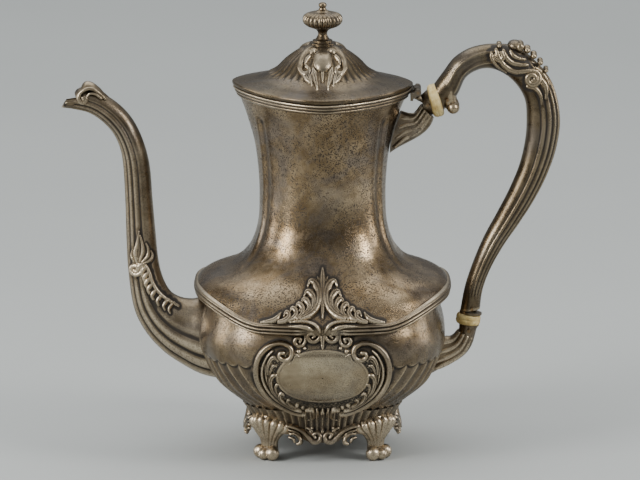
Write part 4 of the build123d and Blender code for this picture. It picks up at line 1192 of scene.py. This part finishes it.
def spout_leaf_lines():
    """Volute, upright plume and overlapping leaflets, as (points in (x, z), start radius, end radius)."""
    lines = [
        (spiral((-109.6, 108.4), 3.8, 60, -1.6), 1.6, 1.1),
        ([
            (-108, 111.8), (-104, 110.8), (-101.6, 106.6), (-100.2, 101.8), (-97.6, 96.8),
            (-93.2, 92), (-88, 88.4), (-84.6, 86.4),
        ], 1.2, 0.9),
        ([(-108.6, 112.6), (-109.8, 118), (-108.6, 124), (-107.6, 131.4)], 1.5, 0.5),
        ([(-107.2, 113.6), (-105.4, 119), (-105.8, 124), (-107, 128.8)], 1.3, 0.5),
        ([(-105.8, 113), (-102.6, 116.6), (-102.4, 120.8), (-103.6, 124)], 1.2, 0.5),
        ([(-104, 112.6), (-100.8, 114.2), (-99.8, 117), (-100.8, 119.4)], 1.1, 0.5),
        ([(-110.4, 113), (-112, 116.4), (-111.4, 120)], 1, 0.5),
    ]
    stem = spline(lines[1][0], 11)
    for k, (x, z) in enumerate(stem[1:-1]):
        size = 1.75 - 0.07 * k
        leaflet = [(x - 0.4, z + 0.6), (x - 2.2, z - 0.8), (x - 3.3, z - 2.7), (x - 2.6, z - 4.8)]
        lines.append((leaflet, size, 0.6 * size))
    return lines


def spout_leaves():
    piece = scrolls_on(Piece("spout_acanthus"), SPOUT_SECTIONS, spout_leaf_lines(), 0.25)
    piece.cast(["spout_leaves"], 4, 0.3)


def handle_relief(s, turn):
    """Reeds on the outer half below the crest, and a sunk channel with raised lips above it."""
    from_outer = degrees_from_outer(turn)
    lower = smoothstep((s - 0.40) / 0.02) * smoothstep((0.97 - s) / 0.02)
    band = (reeds(from_outer, 4, 14.0, 100.0) - 0.75) * 0.85
    deep = np.interp(s, [0.4, 0.6, 0.9], [1.6, 1.4, 0.95])
    reeded = band * deep * smoothstep((104 - from_outer) / 8) * smoothstep((from_outer - 10) / 6) * lower
    upper = smoothstep((s - 0.10) / 0.025) * smoothstep((0.315 - s) / 0.02)
    centre = np.interp(s, [0.1, 0.2, 0.32], [104, 96, 84])
    channel = -0.95 * np.exp(-(np.abs((from_outer - centre) / 21.0) ** 4)) * upper
    lips = 0.45 * np.exp(-(((np.abs(from_outer - centre) - 26) / 5.5) ** 2)) * upper
    return reeded + channel + lips


def handle():
    """Reeded grip, with a round knuckle where it leaves the upper bracket."""
    points = capped(swept(HANDLE_SECTIONS, 330, 104, handle_relief))
    # Painted shade and tarnish beside the crest.
    dark = 0.75 * shade_and_tarnish_beside(points, bar_strokes(handle_crest_lines()), 1.3, 2)
    piece = Piece("reeded_handle").grid(points, wrap=True, inside=(110, 0, 160), dark=dark)
    piece.tube([(76.4, y, 204.6) for y in np.linspace(-5.4, 5.4, 8)], 3.7, 30, up=(0, 0, 1))
    bridge = spline([(73.4, 214.6), (73.6, 210.6), (74.6, 207.4), (76.0, 205.4)], 16)
    piece.tube(set_at(bridge, 0), np.linspace(5.2, 4.2, 16), 28, flat=1.5)
    return piece.build(HANDLE_SILVER, replaces=["handle"], steps=8, depth=0.3)


def handle_crest_lines():
    """Scrolls and leaves at the top bend, as (points in (x, z), start radius, end radius)."""
    return [
        (spiral((122.6, 222.2), 4.8, 100, -1.5), 2, 1.3),
        (spiral((103.4, 235.6), 3, 170, 1.2), 1.6, 1.1),
        ([
            (101.4, 239), (103.6, 233.4), (107.6, 228.8), (112.4, 226.4), (117.6, 226.6), (121.6, 227),
        ], 1.9, 1.3),
        ([(105.6, 238.6), (107.2, 235), (110.6, 231.8), (114.8, 230.6), (119.4, 230.2)], 1.7, 1.1),
        ([(109.8, 238.2), (111.4, 235.8), (114.2, 234.2), (118, 233.4)], 1.5, 1),
        ([(126.4, 223), (129.4, 219.4), (130.8, 214.6), (130.4, 210.4)], 1.7, 0.8),
        ([(119.8, 217.6), (124.6, 216.2), (127.4, 212), (128, 207.2)], 1.5, 0.7),
        ([(98.4, 237.4), (99.2, 233.6), (102.4, 229.4), (107.4, 225.8)], 1.4, 0.8),
        ([(124.2, 228.2), (127.4, 225.8), (130.4, 222), (132, 218.4)], 1.5, 0.8),
    ]


def handle_crest():
    """Scrolls and leaves at the top bend of the handle, with a row of rounded lobes along its back."""
    piece = scrolls_on(Piece("handle_scrolls"), HANDLE_SECTIONS, handle_crest_lines(), 0.3)
    ball(piece, (112.2, 0, 240.8), (4.3, 5.6, 3.3), 24, 30)
    for y in (-4.4, 0.0, 4.4):
        ball(piece, (115.4, y, 240.4), (2.4, 2.2, 2.8), 16, 18)
    lobes = (
        (119.6, 238.6, 2.1), (123.4, 235.2, 2.0), (127.2, 231.2, 1.8), (130.6, 226.6, 1.5),
        (103.2, 241.2, 1.6),
    )
    for x, z, r in lobes:
        for y in (-3.8, 3.8):
            ball(piece, (x, y, z), (r, 2.9, r * 0.9), 12, 14)
    piece.cast(["handle_crest"], 4, 0.3, HANDLE_SILVER)


def insulator(name, centre, tilt, radius, thick, replaces):
    """Bone ring with rounded edges and a groove round its middle, tilted in the plane of the handle."""
    rows, columns, groove_depth, groove_width = 56, 72, 0.22, 0.35
    a, half = math.radians(tilt), thick / 2
    along = np.array([math.cos(a), 0, math.sin(a)])
    across = np.array([-math.sin(a), 0, math.cos(a)])
    depth = np.array([0, 1.0, 0])
    face = [
        (half, 0.05), (half, 0.62 * radius), (half - 0.1, 0.84 * radius), (half - 0.9, 0.955 * radius),
        (half * 0.35, radius),
    ]
    outline = [(-u, r) for u, r in face] + [(0, 1.005 * radius)] + face[::-1]
    turn = circle(columns)[:, None]
    rings = []
    for u, r in spline(outline, rows):
        r = max(r - groove_depth * math.exp(-((u / groove_width) ** 2)), 0.02)
        rings.append(np.array(centre) + along * u + r * (np.cos(turn) * across + np.sin(turn) * depth))
    shade = taper(rows, [0, 0.18, 0.34, 0.66, 0.82, 1], [0.8, 0.6, 0.0, 0.0, 0.6, 0.8])[:, None]
    piece = Piece(name).grid(rings, wrap=True, dark=shade, inside=centre)
    piece.build(BONE, replaces=replaces, slot="insulator_bone", steps=3, depth=0.6)


def insulators():
    insulator("upper_bone_ring", (66.2, 0, 208.0), 14.5, 9.9, 6.4, ["upper_insulator"])
    insulator("lower_bone_ring", (85.7, 0, 77.2), 82.0, 7.2, 6.4, ["lower_insulator"])


# ---- carried-over parts, floor, light, camera ----
def ribs(sections, shares, radius):
    """Lines that run along a swept bracket, at the given shares of the way across it."""
    lines = []
    for share in shares:
        points = [(a + (c - a) * share, b + (d - b) * share) for a, b, c, d, _ in sections]
        lines.append((points, radius, 0.7 * radius))
    return lines


def bracket_leaves():
    """Leaf ribs on the two handle brackets, which carry the insulators."""
    piece = Piece("bracket_leaves")
    scrolls_on(piece, UPPER_ARM, ribs(UPPER_ARM, (0.2, 0.42, 0.64, 0.84), 1.3), 0.45)
    scrolls_on(piece, LOWER_ARM, ribs(LOWER_ARM, (0.14, 0.36, 0.6, 0.84), 1.7), 0.5)
    piece.cast((), 4, 0.4)


def finish_cad_nodes():
    """Metals for the CAD nodes. Those that no piece replaces are seen."""
    metals = {
        "hinge_pin": PIN_METAL, "socket_rivets": PIN_METAL, "bottom_plate": BOWL_SILVER,
        "lid_bezel": LID_SILVER, "lid_hinge_leaf": LID_SILVER,
    }
    for name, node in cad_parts.items():
        node.data.materials.clear()
        node.data.materials.append(metals.get(name, CAST_SILVER))


def floor():
    """Pale sheet that the pot stands on, wide enough to fill the view."""
    corners = [(x, y, 0) for x, y in ((-8, -8), (8, -8), (8, 8), (-8, 8))]
    mesh = bpy.data.meshes.new("floor")
    mesh.from_pydata(corners, [], [(0, 1, 2, 3)])
    mesh.materials.append(floor_paint())
    add_object("floor", mesh)


def aim(thing, place, target):
    """Puts a light or a camera at a place, looking at the target."""
    thing.location = place
    thing.rotation_euler = (target - place).to_track_quat("-Z", "Y").to_euler()


def area_light(name, place, target, size, power, colour):
    light = bpy.data.lights.new(name, "AREA")
    light.shape = "RECTANGLE"
    light.size, light.size_y = size
    light.energy = power
    light.color = colour
    aim(add_object(name, light), Vector(place), Vector(target))


def lights():
    """Two windows in front, two fainter lights at the sides and a wide ceiling, in metres and watts."""
    pot, behind = (0.0, 0.0, 0.12), (0.0, 0.7, 0.0)
    area_light("window_left", (-1.1, -0.75, 0.75), pot, (0.6, 0.9), 22, (1.0, 0.99, 0.97))
    area_light("window_right", (1.25, -0.55, 0.9), pot, (0.45, 0.8), 16, (1.0, 0.98, 0.95))
    area_light("side_left", (-1.7, 0.25, 0.42), pot, (0.7, 0.7), 9, (1.0, 0.985, 0.96))
    area_light("side_right", (1.7, 0.25, 0.42), pot, (0.7, 0.7), 9, (1.0, 0.985, 0.96))
    area_light("ceiling", (0.0, 1.1, 2.3), behind, (2.6, 2.4), 34, (0.99, 1.0, 1.0))


def room():
    """Grey surroundings, dark below the horizon and pale above it."""
    world = bpy.data.worlds.new("room")
    world.use_nodes = True
    tree = world.node_tree
    place = tree.nodes.new("ShaderNodeTexCoord")
    split = tree.nodes.new("ShaderNodeSeparateXYZ")
    ramp = tree.nodes.new("ShaderNodeValToRGB")
    tree.links.new(place.outputs["Generated"], split.inputs[0])
    tree.links.new(split.outputs["Z"], ramp.inputs["Fac"])
    tree.links.new(ramp.outputs["Color"], tree.nodes["Background"].inputs["Color"])
    set_stops(ramp, [
        (0.0, (0.24, 0.235, 0.225)), (0.2, (0.24, 0.24, 0.24)), (0.5, (0.66, 0.69, 0.70)),
        (1.0, (0.95, 0.98, 1.0)),
    ])
    tree.nodes["Background"].inputs["Strength"].default_value = 0.75
    bpy.context.scene.world = world


def camera():
    """Long lens, looking slightly down on the front of the pot."""
    elevation, distance, aside, height = math.radians(12), 5.22, -0.0015, 0.1244
    look_at = Vector((AXIS[0] + aside, 0.0, height))
    lens = bpy.data.cameras.new("camera")
    lens.lens, lens.sensor_width = 500, 36
    eye = add_object("camera", lens)
    aim(eye, look_at + Vector((0, -math.cos(elevation), math.sin(elevation))) * distance, look_at)
    bpy.context.scene.camera = eye


camera()
lights()
room()
floor()
finish_cad_nodes()
bowl()
neck()
lining()
neck_rim()
shoulder_rim()
body_ornament()
apron()
apron_ornament()
for sign_x in (-1, 1):
    for sign_y in (-1, 1):
        foot(sign_x, sign_y)
lid()
lid_ornament()
finial()
spout()
hood()
spout_leaves()
handle()
handle_crest()
insulators()
bracket_leaves()
